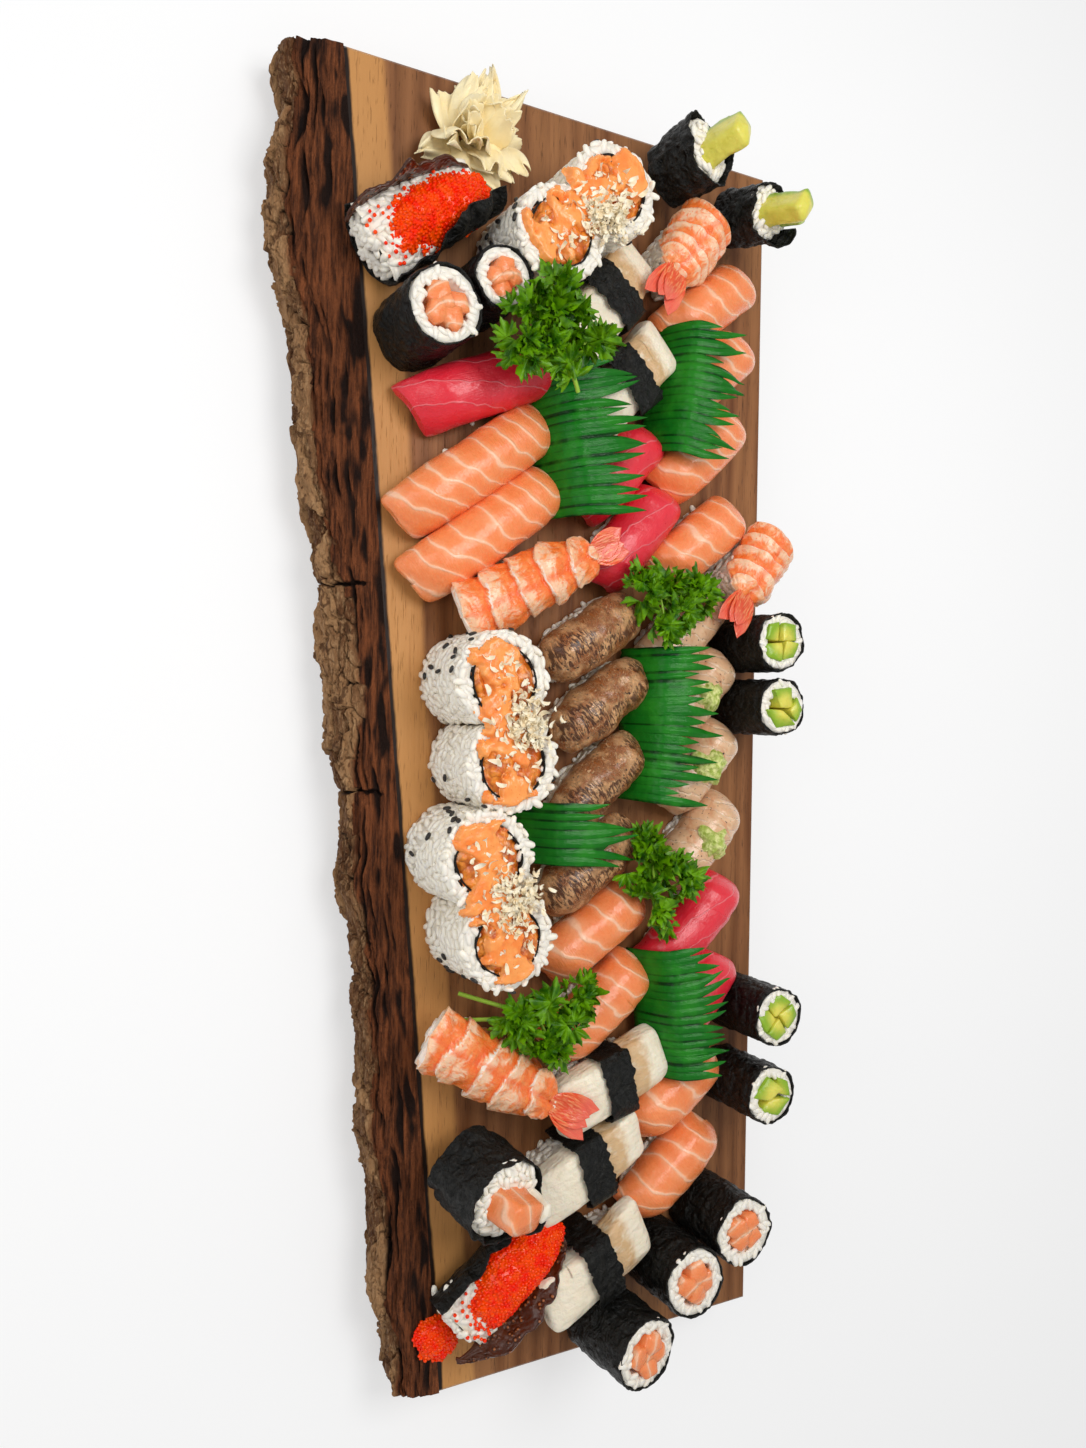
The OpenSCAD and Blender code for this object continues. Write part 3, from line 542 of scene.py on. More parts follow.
def board_material(live_edge, slope):
    """live_edge is where the sapwood starts at the board's middle and slope is its slant."""
    s = Shader("board_wood", Specular_IOR_Level=0.22)
    in_from_edge = s.y - s.x * slope - live_edge
    sway = s.noise(60.0, (3, 1, 1), detail=2.0) * 14
    rings = ((s.y + sway) / 6.5).saw() * 2
    grain = s.noise(1.1, (28, 1, 1), detail=4.0, roughness=0.7)
    pores = s.noise(0.45, (14, 1, 1), detail=2.0)
    broad = s.noise(16.0, (8, 1, 1), distortion=0.5)
    heart = s.mix(rings, (0.15, 0.052, 0.016), (0.27, 0.11, 0.04))
    heart = s.mix(broad.step(0.35, 0.7) * 0.75, heart, (0.37, 0.165, 0.06))
    heart = s.mix(grain.step(0.5, 0.78) * 0.6, heart, (0.075, 0.025, 0.009))
    heart = s.mix(pores.step(0.62, 0.72) * 0.5, heart, (0.035, 0.013, 0.006))
    sap = s.mix(broad, (0.48, 0.21, 0.06), (0.6, 0.3, 0.1))
    sap = s.mix(grain.step(0.5, 0.85) * 0.5, sap, (0.33, 0.13, 0.04))
    sap = s.mix(pores.step(0.6, 0.72) * 0.4, sap, (0.2, 0.08, 0.025))
    edge = (in_from_edge + s.noise(22.0, (5, 1, 1)) * 5 - 2.5).step(11.5, 14.5)
    body = s.mix(edge, sap, heart)
    cambium = (in_from_edge + s.noise(5.0, (3, 1, 1)) * 1.8).step(2.8, 1.8)
    body = s.mix(cambium, body, (0.014, 0.006, 0.003))
    return s.finish(body, grain * 0.25 + 0.36, [(grain, 0.14), (pores.step(0.6, 0.75), -0.1)])


def bark_material():
    """height, a number on the mesh, is low in the cracks and grooves, where the colour is painted
    nearly black as shade; inner marks the inner bark, and plate is each plate's own number."""
    s = Shader("bark", Specular_IOR_Level=0.15)
    height, inner, plate = s.attribute("height"), s.attribute("inner"), s.attribute("plate")
    flakes = s.noise(1.2, (3, 1, 1.0), detail=5.0, roughness=0.75)
    chips = s.noise(3.2, (1.8, 1, 1), roughness=0.6, distortion=1.0)
    strings = s.noise(1.3, (14, 1, 1), detail=4.0, roughness=0.7)
    plates = s.mix((s.noise(9.0, (2, 1, 1)) + plate * 0.8 - 0.4).step(0.1, 0.9),
                   (0.13, 0.05, 0.018), (0.42, 0.225, 0.1))
    plates = s.mix(flakes.step(0.45, 0.7) * 0.7, plates, (0.56, 0.34, 0.17))
    plates = s.mix(chips.step(0.44, 0.36) * 0.75, plates, (0.07, 0.026, 0.01))
    # Painted shade: the plates are darkened nearly to black where the relief is low, in the cracks
    plates = s.mix(height.step(0.42, 0.12), plates, (0.012, 0.005, 0.002))
    bast = s.mix(strings.step(0.3, 0.7), (0.03, 0.009, 0.004), (0.25, 0.075, 0.025))
    bast = s.mix(flakes.step(0.6, 0.8) * 0.4, bast, (0.36, 0.16, 0.07))
    # Painted shade: the inner bark is darkened nearly to black in the low grooves between its
    # strings
    bast = s.mix(height.step(0.5, 0.15) * 0.95, bast, (0.007, 0.003, 0.002))
    return s.finish(s.mix(inner, plates, bast), flakes * 0.3 + 0.5,
                    [(flakes, 1.2), (chips, 1.4), (strings, 0.6)])


def simple_material(name, low, high, size, roughness=0.4, depth=0.2, bump_size=1.0, **more):
    """Two colours that a noise mixes, with a bump."""
    s = Shader(name, Roughness=roughness, **more)
    body = s.mix(s.noise(size).step(0.3, 0.7), low, high)
    return s.finish(body, None, [(s.noise(bump_size, detail=4.0), depth)])


def avocado_material():
    """Green where it was next to the skin and yellow towards the stone."""
    s = flesh("avocado", 0.36, 1.5, coat=(0.15, 0.1))
    skin = s.attribute("skin")
    body = s.mix(s.noise(4.0), (0.6, 0.56, 0.04), (0.86, 0.78, 0.15))
    body = s.mix((skin + s.noise(3.0) * 0.3 - 0.15).step(0.3, 0.95), body, (0.24, 0.42, 0.01))
    return s.finish(body, None, [(s.noise(2.5), 0.5)])


def skin_material():
    s = Shader("crisp_skin", Specular_IOR_Level=0.3, coat=(0.25, 0.08))
    spots = s.cells(2.0)
    body = s.mix(s.noise(5.0), (0.02, 0.004, 0.001), (0.11, 0.026, 0.006))
    body = s.mix(spots.step(0.3, 0.14) * 0.8, body, (0.42, 0.14, 0.04))
    return s.finish(body, s.noise(2.0) * 0.2 + 0.22,
                    [(spots.step(0.5, 0.1), 0.6), (s.noise(4.0), 0.8)])


def roe_material():
    s = flesh("roe", 0.15, 0.6, 0.2, (1.0, 0.3, 0.1), Specular_IOR_Level=0.22,
              coat=(0.08, 0.05))
    return s.finish(s.mix(s.noise(4.0).step(0.36, 0.62), (0.96, 0.018, 0.0003),
                          (0.99, 0.08, 0.0006)))


def ginger_material():
    s = flesh("ginger", 0.4, 0.8, 0.08, (1.0, 0.85, 0.5), Specular_IOR_Level=0.3,
              coat=(0.15, 0.1))
    veins = s.noise(0.9, (1, 1, 6))
    body = s.mix(s.noise(6.0), (0.99, 0.78, 0.4), (1.0, 0.92, 0.64))
    return s.finish(body, None, [(veins, 0.25)])


def parsley_material():
    s = flesh("parsley", 0.34, 0.8, 0.1, (0.5, 1.0, 0.1), Specular_IOR_Level=0.22)
    body = s.mix(s.noise(4.0).step(0.3, 0.68), (0.018, 0.1, 0.0005), (0.15, 0.36, 0.002))
    body = s.mix(s.attribute("stem"), body, (0.3, 0.5, 0.05))
    return s.finish(body, None, [(s.noise(0.7), 0.15)])


def grass_material():
    """fold, a number on the mesh, is high on the ridges of the folded film; the colour is painted
    lighter there and darker in the valleys, as light and shade on the pleats.
    """
    s = Shader("grass_film", Roughness=0.26, Specular_IOR_Level=0.2)
    fold, tip = s.attribute("fold"), s.attribute("tip")
    pleats = s.noise(1.2, (0.25, 3, 1), detail=2.0)
    # Painted light and shade: the pleats' valleys are dark and their ridges lit
    body = s.mix(fold.step(0.0, 0.4), (0.0, 0.03, 0.002), (0.006, 0.15, 0.009))
    # Painted highlights: brighter green patches scattered over the film
    body = s.mix(s.noise(9.0).step(0.4, 0.7) * 0.6, body, (0.025, 0.26, 0.014))
    body = s.mix(tip * 0.4, body, (0.012, 0.14, 0.006))
    return s.finish(body, None, [(s.noise(4.0), 0.4), (pleats, 0.15)])


# ---------------------------------------------------------------- board and bark


def near_edge():
    """The slab's live edge as (y at the middle, slope), from the solid's two near corners."""
    co, _ = node_mesh("board_slab")
    left = co[co[:, 0] < co[:, 0].min() + 0.1]
    right = co[co[:, 0] > co[:, 0].max() - 0.1]
    y0, y1 = left[:, 1].min(), right[:, 1].min()
    return (y0 + y1) / 2, (y1 - y0) / (right[0, 0] - left[0, 0])


def dress_board():
    edge_y, slope = near_edge()
    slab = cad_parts["board_slab"]
    slab.data.materials.clear()
    slab.data.materials.append(board_material(edge_y, slope))


# How far round its section the inner bark shows, how deep the plates stand out, and where the
# bark has split across
INNER_SHARE, BARK_RELIEF, BARK_SPLITS = 0.31, 5.0, (-49.5, 16.0)


def dress_bark(rng):
    """The bark's surface runs from its lip round the outside to the underside. Its upper part
    is stringy inner bark, and the rest is layered plates with cracks between."""
    edge_y, slope = near_edge()
    co, _ = node_mesh("live_edge_bark")
    stations = np.unique(co[:, 0])
    reaches = np.array([edge_y + slope * x - co[co[:, 0] == x, 1].min() for x in stations])
    columns, rows = 1300, 140
    x = column(stations[0], stations[-1], columns)
    t = np.linspace(0, 1, rows)
    smoothed = np.convolve(np.pad(reaches, 1, "edge"), [0.25, 0.5, 0.25], "valid")
    reach = np.interp(x, stations, smoothed)
    # A rounded section: out along the top, down the side and back underneath
    turn = np.pi * t
    out = reach * np.sin(turn) ** 0.75 * (1.0 + 0.06 * np.cos(turn))
    height = BOARD_TOP * (0.5 + 0.5 * np.sign(np.cos(turn)) * np.abs(np.cos(turn)) ** 0.8)
    u = t * 42.0
    along = points(x, u, 0)
    # The inner bark shows to the end of the top, less where plates still cover it
    covered = np.exp(-((x + 18) / 34) ** 2) * 0.15
    crack, number = bark_plates(x, u, rng)
    small, chip = bark_plates(x, u, rng, 5.0, 2.6)
    border = (INNER_SHARE - covered + 0.03 * rough(points(x, u / 2, 5), 13, 3, 3)
              + 0.05 * (number - 0.5))
    inner = np.clip((border - t) / 0.02, 0, 1)
    warp = 2.2 * np.stack([noise(along, 7, k) for k in (4, 5, 6)], axis=-1)
    # Flat layers broken off in steps
    layer = 2.4 * (rough(points(x / 2.4, u, 0) + warp, 9, 4, 7) + 1.2)
    step = layer - np.floor(layer)
    terrace = (np.floor(layer) + np.clip((step - 0.42) / 0.14, 0, 1)) / 5.0
    deep = np.clip(crack / 0.1, 0, 1) ** 0.6
    chipped = np.clip(small / 0.16, 0, 1)
    fine = rough(points(x / 2.5, u, 2), 1.7, 3, 11)
    outer_h = (deep * (0.34 * number + 0.5 * terrace + 0.16 * chip * chipped + 0.1)
               + 0.13 * fine + 0.06 * chipped)
    # Strings lie side by side along the trunk and run into each other
    strand = rough(points(x / 9, u + 0.8 * noise(along, 12, 2), 0), 2.3, 3, 15)
    inner_h = 0.34 + 0.36 * (1 - np.abs(strand) * 2.4) + 0.12 * fine
    relief = inner * inner_h + (1 - inner) * outer_h
    for at in BARK_SPLITS:
        split = np.abs(x - at + 1.5 * noise(points(u, at), 6, 1) + 0.5 * noise(points(u, at), 2, 2))
        relief = relief - 0.9 * np.clip(1 - split / 0.9, 0, 1) * np.clip((t - 0.04) / 0.08, 0, 1)
    swell = np.abs(np.sin(turn))
    lift = BARK_RELIEF * (relief - 0.5)
    out = out + (lift + 0.7 * noise(points(x, u / 3, 0), 12, 22)) * swell**0.6
    height = height + (lift * np.cos(turn) * 0.55 - 0.9 * (t < 0.3)) * swell**0.6
    y = edge_y + slope * x - np.maximum(out, 0)
    verts = points(x, y, np.clip(height, 0, BOARD_TOP + 0.3))
    ends = [np.array([[k * rows + j for j in range(rows)][::order]])
            for k, order in ((0, -1), (columns - 1, 1))]
    obj = piece("bark", (verts, [grid_faces(columns, rows)] + ends), bark_material(),
                replaces=["live_edge_bark"])
    # Where this is low, in the cracks and grooves, the material paints shade
    paint(obj, "height", np.clip(relief, 0, 1))
    paint(obj, "inner", inner)
    paint(obj, "plate", number)


# ---------------------------------------------------------------- rice


def grain_shape():
    """A grain of cooked rice from -1 to 1 along X."""
    rings, sides = 5, 6
    a = column(0, np.pi, rings + 1)[1:-1]
    b = circle(sides)
    r = np.sin(a) ** 0.75
    body = points(-np.cos(a), r * np.cos(b), r * np.sin(b)).reshape(-1, 3)
    last = (rings - 2) * sides
    j = np.arange(sides)
    k = (j + 1) % sides
    faces = np.concatenate([
        triangles(grid_faces(rings - 1, sides, wrap=True)),
        np.stack([np.full(sides, len(body)), k, j], axis=-1),
        np.stack([np.full(sides, len(body) + 1), last + j, last + k], axis=-1)])
    return np.concatenate([body, [[-1, 0, 0], [1, 0, 0]]]), faces


GRAIN = grain_shape()
GRAIN_SIZE = np.array([2.35, 1.2, 0.95])


def spread(solid, spacing, keep, rng):
    """Points over a solid's surface about spacing apart, with the way out at each. keep says
    which to use from their places and ways out."""
    co, tri = solid
    a, b, c = (co[tri[:, k]] for k in range(3))
    cross = np.cross(b - a, c - a)
    area = np.linalg.norm(cross, axis=1)
    count = int(area.sum() / 2 / spacing**2 * 7)
    pick = rng.choice(len(tri), count, p=area / area.sum())
    u, v = rng.random((2, count, 1))
    over = u + v > 1
    u, v = np.where(over, 1 - u, u), np.where(over, 1 - v, v)
    p = a[pick] + u * (b - a)[pick] + v * (c - a)[pick]
    way = cross[pick] / area[pick, None]
    good = keep(p, way)
    return thinned(p[good], way[good], spacing)


def thinned(p, way, spacing):
    """Leaves out points that lie closer than spacing to one before them."""
    from mathutils.kdtree import KDTree

    tree = KDTree(len(p))
    for i, q in enumerate(p):
        tree.insert(q, i)
    tree.balance()
    alive = np.ones(len(p), bool)
    for i, q in enumerate(p):
        if alive[i]:
            for _, j, _ in tree.find_range(q, spacing):
                if j > i:
                    alive[j] = False
    return p[alive], way[alive]


def strewn(shape, p, way, size, rng, tilt=0.3, sink=0.3):
    """Copies of a small shape that lie at points of a surface, each turned at random."""
    n = len(p)
    lengthwise = rng.normal(size=(n, 3))
    lengthwise -= np.sum(lengthwise * way, axis=1, keepdims=True) * way
    lengthwise = unit(lengthwise)
    lengthwise += tilt * rng.normal(size=(n, 1)) * way
    lengthwise = unit(lengthwise)
    side = unit(np.cross(way, lengthwise))
    up = np.cross(lengthwise, side)
    scale = size * rng.uniform(0.85, 1.12, (n, 1))
    axes = np.stack([lengthwise * scale[:, :1], side * scale[:, 1:2], up * scale[:, 2:]], axis=-1)
    at = p - way * sink * scale[:, 2:]
    return copies(shape, np.concatenate([axes, at[:, :, None]], axis=2))


def shrunk(solid, by):
    """A solid with its surface moved in, so that what lies on it stands out."""
    co, tri = solid
    a, b, c = (co[tri[:, k]] for k in range(3))
    cross = np.cross(b - a, c - a)
    way = np.zeros_like(co)
    for k in range(3):
        np.add.at(way, tri[:, k], cross)
    return co - by * unit(way), tri


def dress_rice(node, keep, material, rng, spacing=2.5):
    """Covers each solid of rice in a node with grains where keep(points, ways, solid) says."""
    parts, grains = [], []
    for solid in solids(node):
        parts.append(shrunk(solid, 0.5))
        p, way = spread(solid, spacing, lambda p, w: keep(p, w, solid[0]), rng)
        grains.append(strewn(GRAIN, p, way, GRAIN_SIZE, rng, 0.12, 0.42))
    return piece(node + "_grains", joined(parts + grains), material, replaces=[node])


# ---------------------------------------------------------------- nigiri


class Place:
    """A point of the board and a turn, with the plane that they give."""

    def __init__(self, at, turn):
        self.at, self.turn = at, turn
        self.place = placed(at[0], at[1], 0, turn)

    def local(self, p):
        """The x and y of points in the place's own plane."""
        way = p[:, :2] - self.at
        c, s = np.cos(self.turn), np.sin(self.turn)
        return way @ (c, s), way @ (-s, c)

    def lay(self, shape):
        """A shape drawn in the place's own plane, in the frame."""
        p, faces = shape
        c, s = np.cos(self.turn), np.sin(self.turn)
        x = self.at[0] + p[..., 0] * c - p[..., 1] * s
        y = self.at[1] + p[..., 0] * s + p[..., 1] * c
        return points(x, y, p[..., 2]), faces


class Pad(Place):
    """One pad of rice: its place, and the length and width of what lies on it."""

    def __init__(self, solid):
        turn, size, at = laid(solid[0])
        super().__init__(at, turn)
        self.length, self.width = size[0] / RICE_L_SHARE, size[1] / RICE_W_SHARE


def pads(node):
    return [Pad(solid) for solid in solids(node)]


def nearest(things, at):
    return min(things, key=lambda t: np.hypot(*(t.at - at[:2])))


def arched(path, arch_r, thick):
    """Across and up from the crown of an arch, for paths that bend round it and then run
    straight down."""
    bend = np.clip(path / arch_r, -np.pi / 2, np.pi / 2)
    straight = np.maximum(np.abs(path) - arch_r * np.pi / 2, 0)
    return (arch_r + thick) * np.sin(bend), (arch_r + thick) * np.cos(bend) - arch_r - straight


def fish_slice(l, w, seed, ends, edge, lean, bumps=0.4):
    """A slice wrapped over its rice, with its crown at the origin: it bends round an arch, runs
    straight down at the sides, and its ends hang over. ends and edge say how square it is from
    above and in section, and lean how far its ends are cut aslant."""
    turn, c, v, faces = shell(130, 72, edge, (0, np.pi))
    s = -np.cos(turn)
    half = np.maximum(1 - np.abs(s) ** ends, 0) ** (1 / ends)
    broad = points(l / 2 * s, w / 2 * c, seed * 31.0)
    sway = 1.1 * noise(broad, 15, seed) + 0.5 * noise(broad, 6, seed + 1)
    thick = (SLICE_T / 2 * (v * (0.35 + 0.65 * half) - 1)
             + bumps * rough(broad, 8, 3, seed + 3) * (v > -0.2))
    y, z = arched(REACH_SHARE * w * half * c + sway * half, ARCH_SHARE * w, thick)
    x = l / 2 * s * 1.02 + lean * y + 0.9 * noise(broad, 11, seed + 2) * (np.abs(s) > 0.3)
    over = np.clip((np.abs(s) - 0.6) / 0.4, 0, 1) ** 2
    z = z - (l / 2 * s) ** 2 / (2 * BEND_SHARE * l) - 6.0 * over
    return points(x, y, z), faces


def dress_slices(kind, material, slot, cut, clear=2.5, **how):
    """Lays what cut(length, width, seed) draws over each slice of a kind; clear is how far
    above the board it ends."""
    beds = pads(kind + "_rice")
    prefix = kind + "_slice_"
    names = [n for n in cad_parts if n.startswith(prefix)]
    for k, node in enumerate(sorted(names, key=lambda n: int(n[len(prefix):]))):
        co, _ = node_mesh(node)
        bed = nearest(beds, middle(co))
        crown = co[:, 2].max()
        verts, faces = cut(bed.length, bed.width, k + 3, **how)
        low = BOARD_TOP + clear - crown
        verts[..., 2] = np.maximum(verts[..., 2], low + 0.6 * noise(verts, 3, k))
        piece(node + "_flesh", (verts, faces), material(k) if callable(material) else material,
              placed(*bed.at, crown, bed.turn), replaces=[node])


def prawn_body(l, w, t, seed):
    """Segments that overlap like tiles, each with a curved and scalloped front edge. Also gives
    each point's place in its segment, from 0 to 1, and its place across, from -1 to 1."""
    s, c, v, faces = shell(230, 96, 2.5, (-1, 1))
    on = points(l / 2 * s, w / 2 * c, seed * 19.0)
    seg = ((s + 1) * 2.5 + 0.75 * (1 - c**2) - 0.5 + 0.3 * noise(on, 7, seed + 2)
           + 0.08 * noise(on, 2.5, seed + 3))
    seg = np.clip(seg, 0, 5.999)
    inside = seg - np.floor(seg)
    shares = np.array([0.86, 1.0, 1.06, 1.02, 0.84, 0.48])
    broad = np.interp((s + 1) * 3 - 0.5, np.arange(6), shares)
    scallop = 0.96 + 0.09 * (1 - inside) ** 0.7 * np.clip(inside / 0.08, 0, 1)
    cap = np.minimum(1, ((1 - np.abs(s)) * 9) ** 0.5)
    sway = 0.8 * noise(on, 6, seed + 1) + 0.3 * noise(on, 2, seed + 6)
    path = 0.98 * w * broad * scallop * cap * c + sway * cap
    # Each segment stands up at its front edge, and a cleft runs down the back
    front = np.clip(inside / 0.05, 0, 1)
    tile = (1.5 * (0.6 - inside) * front + 1.0 * rough(on, 6, 3, seed)
            + 0.5 * rough(on * (0.4, 2, 1), 3, 2, seed + 8)
            - 1.1 * np.exp(-(c / 0.09) ** 2) * (s > -0.4))
    thick = t / 2 * (v * (0.35 + 0.65 * cap) - 1) + tile * np.where(v > 0, 1, 0) * cap
    y, z = arched(path, 1.1 * ARCH_SHARE * w, thick)
    x = l / 2 * s * 1.1 - 0.05 * l + 0.6 * noise(on, 4, seed + 5)
    z = z - (l / 2 * s) ** 2 / (2 * PRAWN_BEND * l) - 0.7
    return (points(x, y, z), faces), inside, c + 0 * s


def tail_lobe(l, w, turn, rise, seed):
    """One leaf of a prawn's tail, from the origin along its turn."""
    s, c, v, faces = shell(26, 20, 2.2)
    half = w / 2 * (0.28 + 0.95 * np.sin(np.pi * s**0.8) ** 0.8) * np.minimum(1, (1 - s) * 5) ** 0.5
    x = l * s + 0 * c
    y = half * c
    z = 0.55 * v * (1 - 0.6 * s) + rise * s**1.5 * l + 0.06 * y**2
    z = z + 0.25 * noise(points(x, y, seed * 5.0), 3, seed)
    return Place((0, 0), turn).lay((points(x, y, z), faces))


# Each lobe's angle, share of the tail's length and lift
TAIL_LOBES = ((-0.4, 1, 0), (-0.12, 0.85, 0.1), (0.14, 0.8, 0.12), (0.36, 1, 0.02))


def dress_prawns():
    beds = pads("prawn_rice")
    tail = prawn_tail_material()
    flesh_material = prawn_material()
    for k in range(1, 5):
        node = "prawn_%d" % k
        co, _ = node_mesh(node)
        bed = nearest(beds, middle(co))
        # The tail lies on the side to which the prawn reaches past its rice
        toward = middle(co)[:2] - bed.at
        turn = bed.turn
        if toward @ (np.cos(turn), np.sin(turn)) < 0:
            turn += np.pi
        l = bed.length
        place = placed(bed.at[0], bed.at[1], co[:, 2].max(), turn)
        shape, inside, across = prawn_body(l, bed.width, 5.0, k)
        obj = piece(node + "_body", shape, flesh_material, place, replaces=[node])
        paint(obj, "inside", inside)
        paint(obj, "across", across)
        drop = l / (8 * PRAWN_BEND)
        lobes = [tail_lobe(13.5 * TAIL_SIZES[k - 1] * size, 6.6, 0.8 * angle, 0.12 + lift, k)
                 for angle, size, lift in TAIL_LOBES]
        piece(node + "_tail", joined(lobes), tail,
              place @ placed(l / 2 - 3.0, 0, -drop - 2.2))


def dress_squid_bands(nori):
    """Each band wraps its block and pad down to the board."""
    parts = []
    for co, _ in solids("squid_nori_bands"):
        across, size, at = laid(co)
        top = co[:, 2].max() + 1.0
        foot = co[:, 2].min()
        # An arch: up one side, over the crown and down the other
        u, v, faces = sheet(90, 40, (-1, 1))
        half, tall = size[0] / 2 + 1.9, top - foot
        path = u * (half + tall)
        y = np.clip(path, -half, half)
        side = np.maximum(np.abs(path) - half, 0)
        round_off = 1 - np.abs(y / half) ** 7
        z = top - side * 0.97 - 1.2 * (y / half) ** 2 - 1.0 * (1 - round_off)
        y = y * (1 - 0.03 * (side > 0)) + 0.3 * noise(points(path, v * 4), 3, 8) * (side > 0)
        fray = 0.8 * rough(points(path, np.sign(v) * 9 + at[0]), 1.6, 3, 5) * np.abs(v) ** 6
        x = v * (size[1] * 0.64) + fray + 0.5 * noise(points(path, 0, at[0]), 9, 2)
        z = z + 0.3 * rough(points(path, v * 4, at[0]), 3.2, 3, 3)
        # Across the nigiri the band's own y runs, and along it its x
        parts.append(Place(at, across).lay((points(y, x, np.maximum(z, foot)), faces)))
    piece("squid_bands", joined(parts), nori, replaces=["squid_nori_bands"],
          thickness=NORI_SHEET)


def dress_wasabi():
    """Smears of wasabi on the white fish."""
    s = Shader("wasabi", Roughness=0.45)
    body = s.mix(s.noise(1.8, detail=4.0).step(0.35, 0.65), (0.36, 0.46, 0.06), (0.76, 0.78, 0.3))
    material = s.finish(body, None, [(s.noise(1.3, detail=4.0), 0.9)])
    parts = []
    for k, (co, _) in enumerate(solids("wasabi_dabs")):
        at, size = middle(co), np.ptp(co, axis=0)
        r, a, faces = ring(18, 56)
        reach = size[0] * 1.02 * (1 + 0.45 * rough(polar(3, a, k * 9.0), 1.7, 3, k))
        x, y = r * reach * np.cos(a) * 0.85, r * reach * np.sin(a)
        z = co[:, 2].min() + 0.8 + 2.0 * np.maximum(1 - r**2, 0) ** 0.6 - 2.6 * r**2
        z = z + 0.8 * rough(points(x, y, k * 3.0), 2.4, 3, k)
        parts.append((points(at[0] + x, at[1] + y, z), faces))
    piece("wasabi_smears", joined(parts), material, replaces=["wasabi_dabs"])


# ---------------------------------------------------------------- rolls


class Roll:
    """One upright or leaning roll: its foot, its axis, and its radii at foot and mouth."""

    def __init__(self, solid):
        p = solid[0]
        level = (p[:, 2].min() + p[:, 2].max()) / 2
        low, high = p[p[:, 2] < level], p[p[:, 2] >= level]
        self.foot, self.top = middle(low), middle(high)
        axis = self.top - self.foot
        self.height = np.linalg.norm(axis)
        self.axis = axis / self.height
        self.foot_r = self.off_axis(low).max()
        self.top_r = self.off_axis(high).max()
        self.turn = np.arctan2(self.axis[1], self.axis[0]) if self.axis[2] < 0.9999 else 0.0
        self.tilt = np.arccos(min(1.0, self.axis[2]))
        self.at = self.foot[:2]

    def off_axis(self, p):
        """How far points are from the axis."""
        way = p - self.foot
        return np.linalg.norm(way - (way @ self.axis)[:, None] * self.axis, axis=1)

    def place(self, height=0.0):
        return placed(*(self.foot + self.axis * height), self.turn, self.tilt)


def nori_tube(roll, seed):
    """A crinkled tube with an uneven rim and the step where the sheet ends."""
    v, a, faces = ring(70, 220)
    # Up the outside, over the rim and a little way down the inside
    up = np.minimum(v / 0.8, 1)
    within = np.clip((v - 0.8) / 0.05, 0, 1)
    down = np.maximum(v - 0.85, 0) / 0.15
    z = roll.height * (up - 0.22 * down) + 0 * a
    r = roll.foot_r + (roll.top_r - roll.foot_r) * z / roll.height - 0.6 * within
    on = polar(r, a, z + seed * 40)
    r = (r * (1 + 0.025 * np.cos(4 * a + seed)) - 0.7 * abs(rough(on, 7, 3, seed))
         + 0.35 * rough(on, 2.6, 3, seed + 1))
    r = r - 0.5 * np.clip(np.sin((a + seed) / 2) * 30 - 29, 0, 1)
    z = z + (0.55 * rough(polar(9, a, seed), 4, 3, seed + 2) + 0.25) * up**8
    return polar(r, a, z), faces


def chunk(outline, low, high, bevel, rng, dome=0.6, soften=3):
    """A cut piece of filling: an outline raised to a rounded, slightly uneven top."""
    outline = np.asarray(outline, float)
    n = len(outline)
    fine = np.linspace(0, n, 12 * n, endpoint=False)
    rim = softened(np.stack([
        np.interp(fine, np.arange(n + 1), np.append(outline[:, k], outline[0, k]))
        for k in range(2)], axis=-1), soften)
    centre = rim.mean(0)
    rows = [(1.0, low), (1.0, high - bevel), (0.965, high - bevel * 0.4), (0.9, high),
            (0.6, high + dome * 0.6), (0.3, high + dome), (0.02, high + dome)]
    shape = np.stack([points(*(centre + (rim - centre) * k).T, z) for k, z in rows])
    seed = int(rng.integers(1000))
    shape[2:, :, 2] += 0.35 * rough(shape[2:] + seed, 4, 3, seed)
    # The top is cut a little aslant
    shape[1:, :, 2] += (shape[1:, :, :2] - centre) @ rng.normal(size=2) * 0.12
    shape[:, :, :2] += 0.3 * noise(shape + seed, 5, seed)[..., None]
    return shape, grid_faces(len(rows), len(rim), wrap=True)


def blob_outline(r, sides, rng, stretch=1.0):
    """A rounded polygon with uneven corners."""
    a = np.sort(circle(sides) + rng.uniform(-0.25, 0.25, sides))
    q = r * rng.uniform(0.82, 1.1, sides)
    return np.stack([q * np.cos(a) * stretch, q * np.sin(a)], axis=-1)


# Outlines of the cut avocado in one roll, in shares of the space inside the rice
AVOCADO_CUTS = (
    (((-0.95, -0.1), (-0.08, -0.14), (-0.1, 0.92), (-0.8, 0.8)),
     ((0.0, 0.08), (0.9, 0.02), (0.76, 0.8), (0.04, 0.95)),
     ((-0.84, -0.86), (-0.05, -1.0), (-0.03, -0.2), (-0.92, -0.16)),
     ((0.04, -0.98), (0.74, -0.84), (0.95, -0.08), (0.03, 0.0))),
    (((-0.98, -0.5), (-0.1, -0.3), (0.25, 0.55), (-0.75, 0.72)),
     ((-0.2, -1.0), (0.85, -0.72), (0.98, 0.35), (0.1, -0.15)),
     ((0.3, 0.25), (0.92, 0.42), (0.5, 0.98), (-0.2, 0.9))))


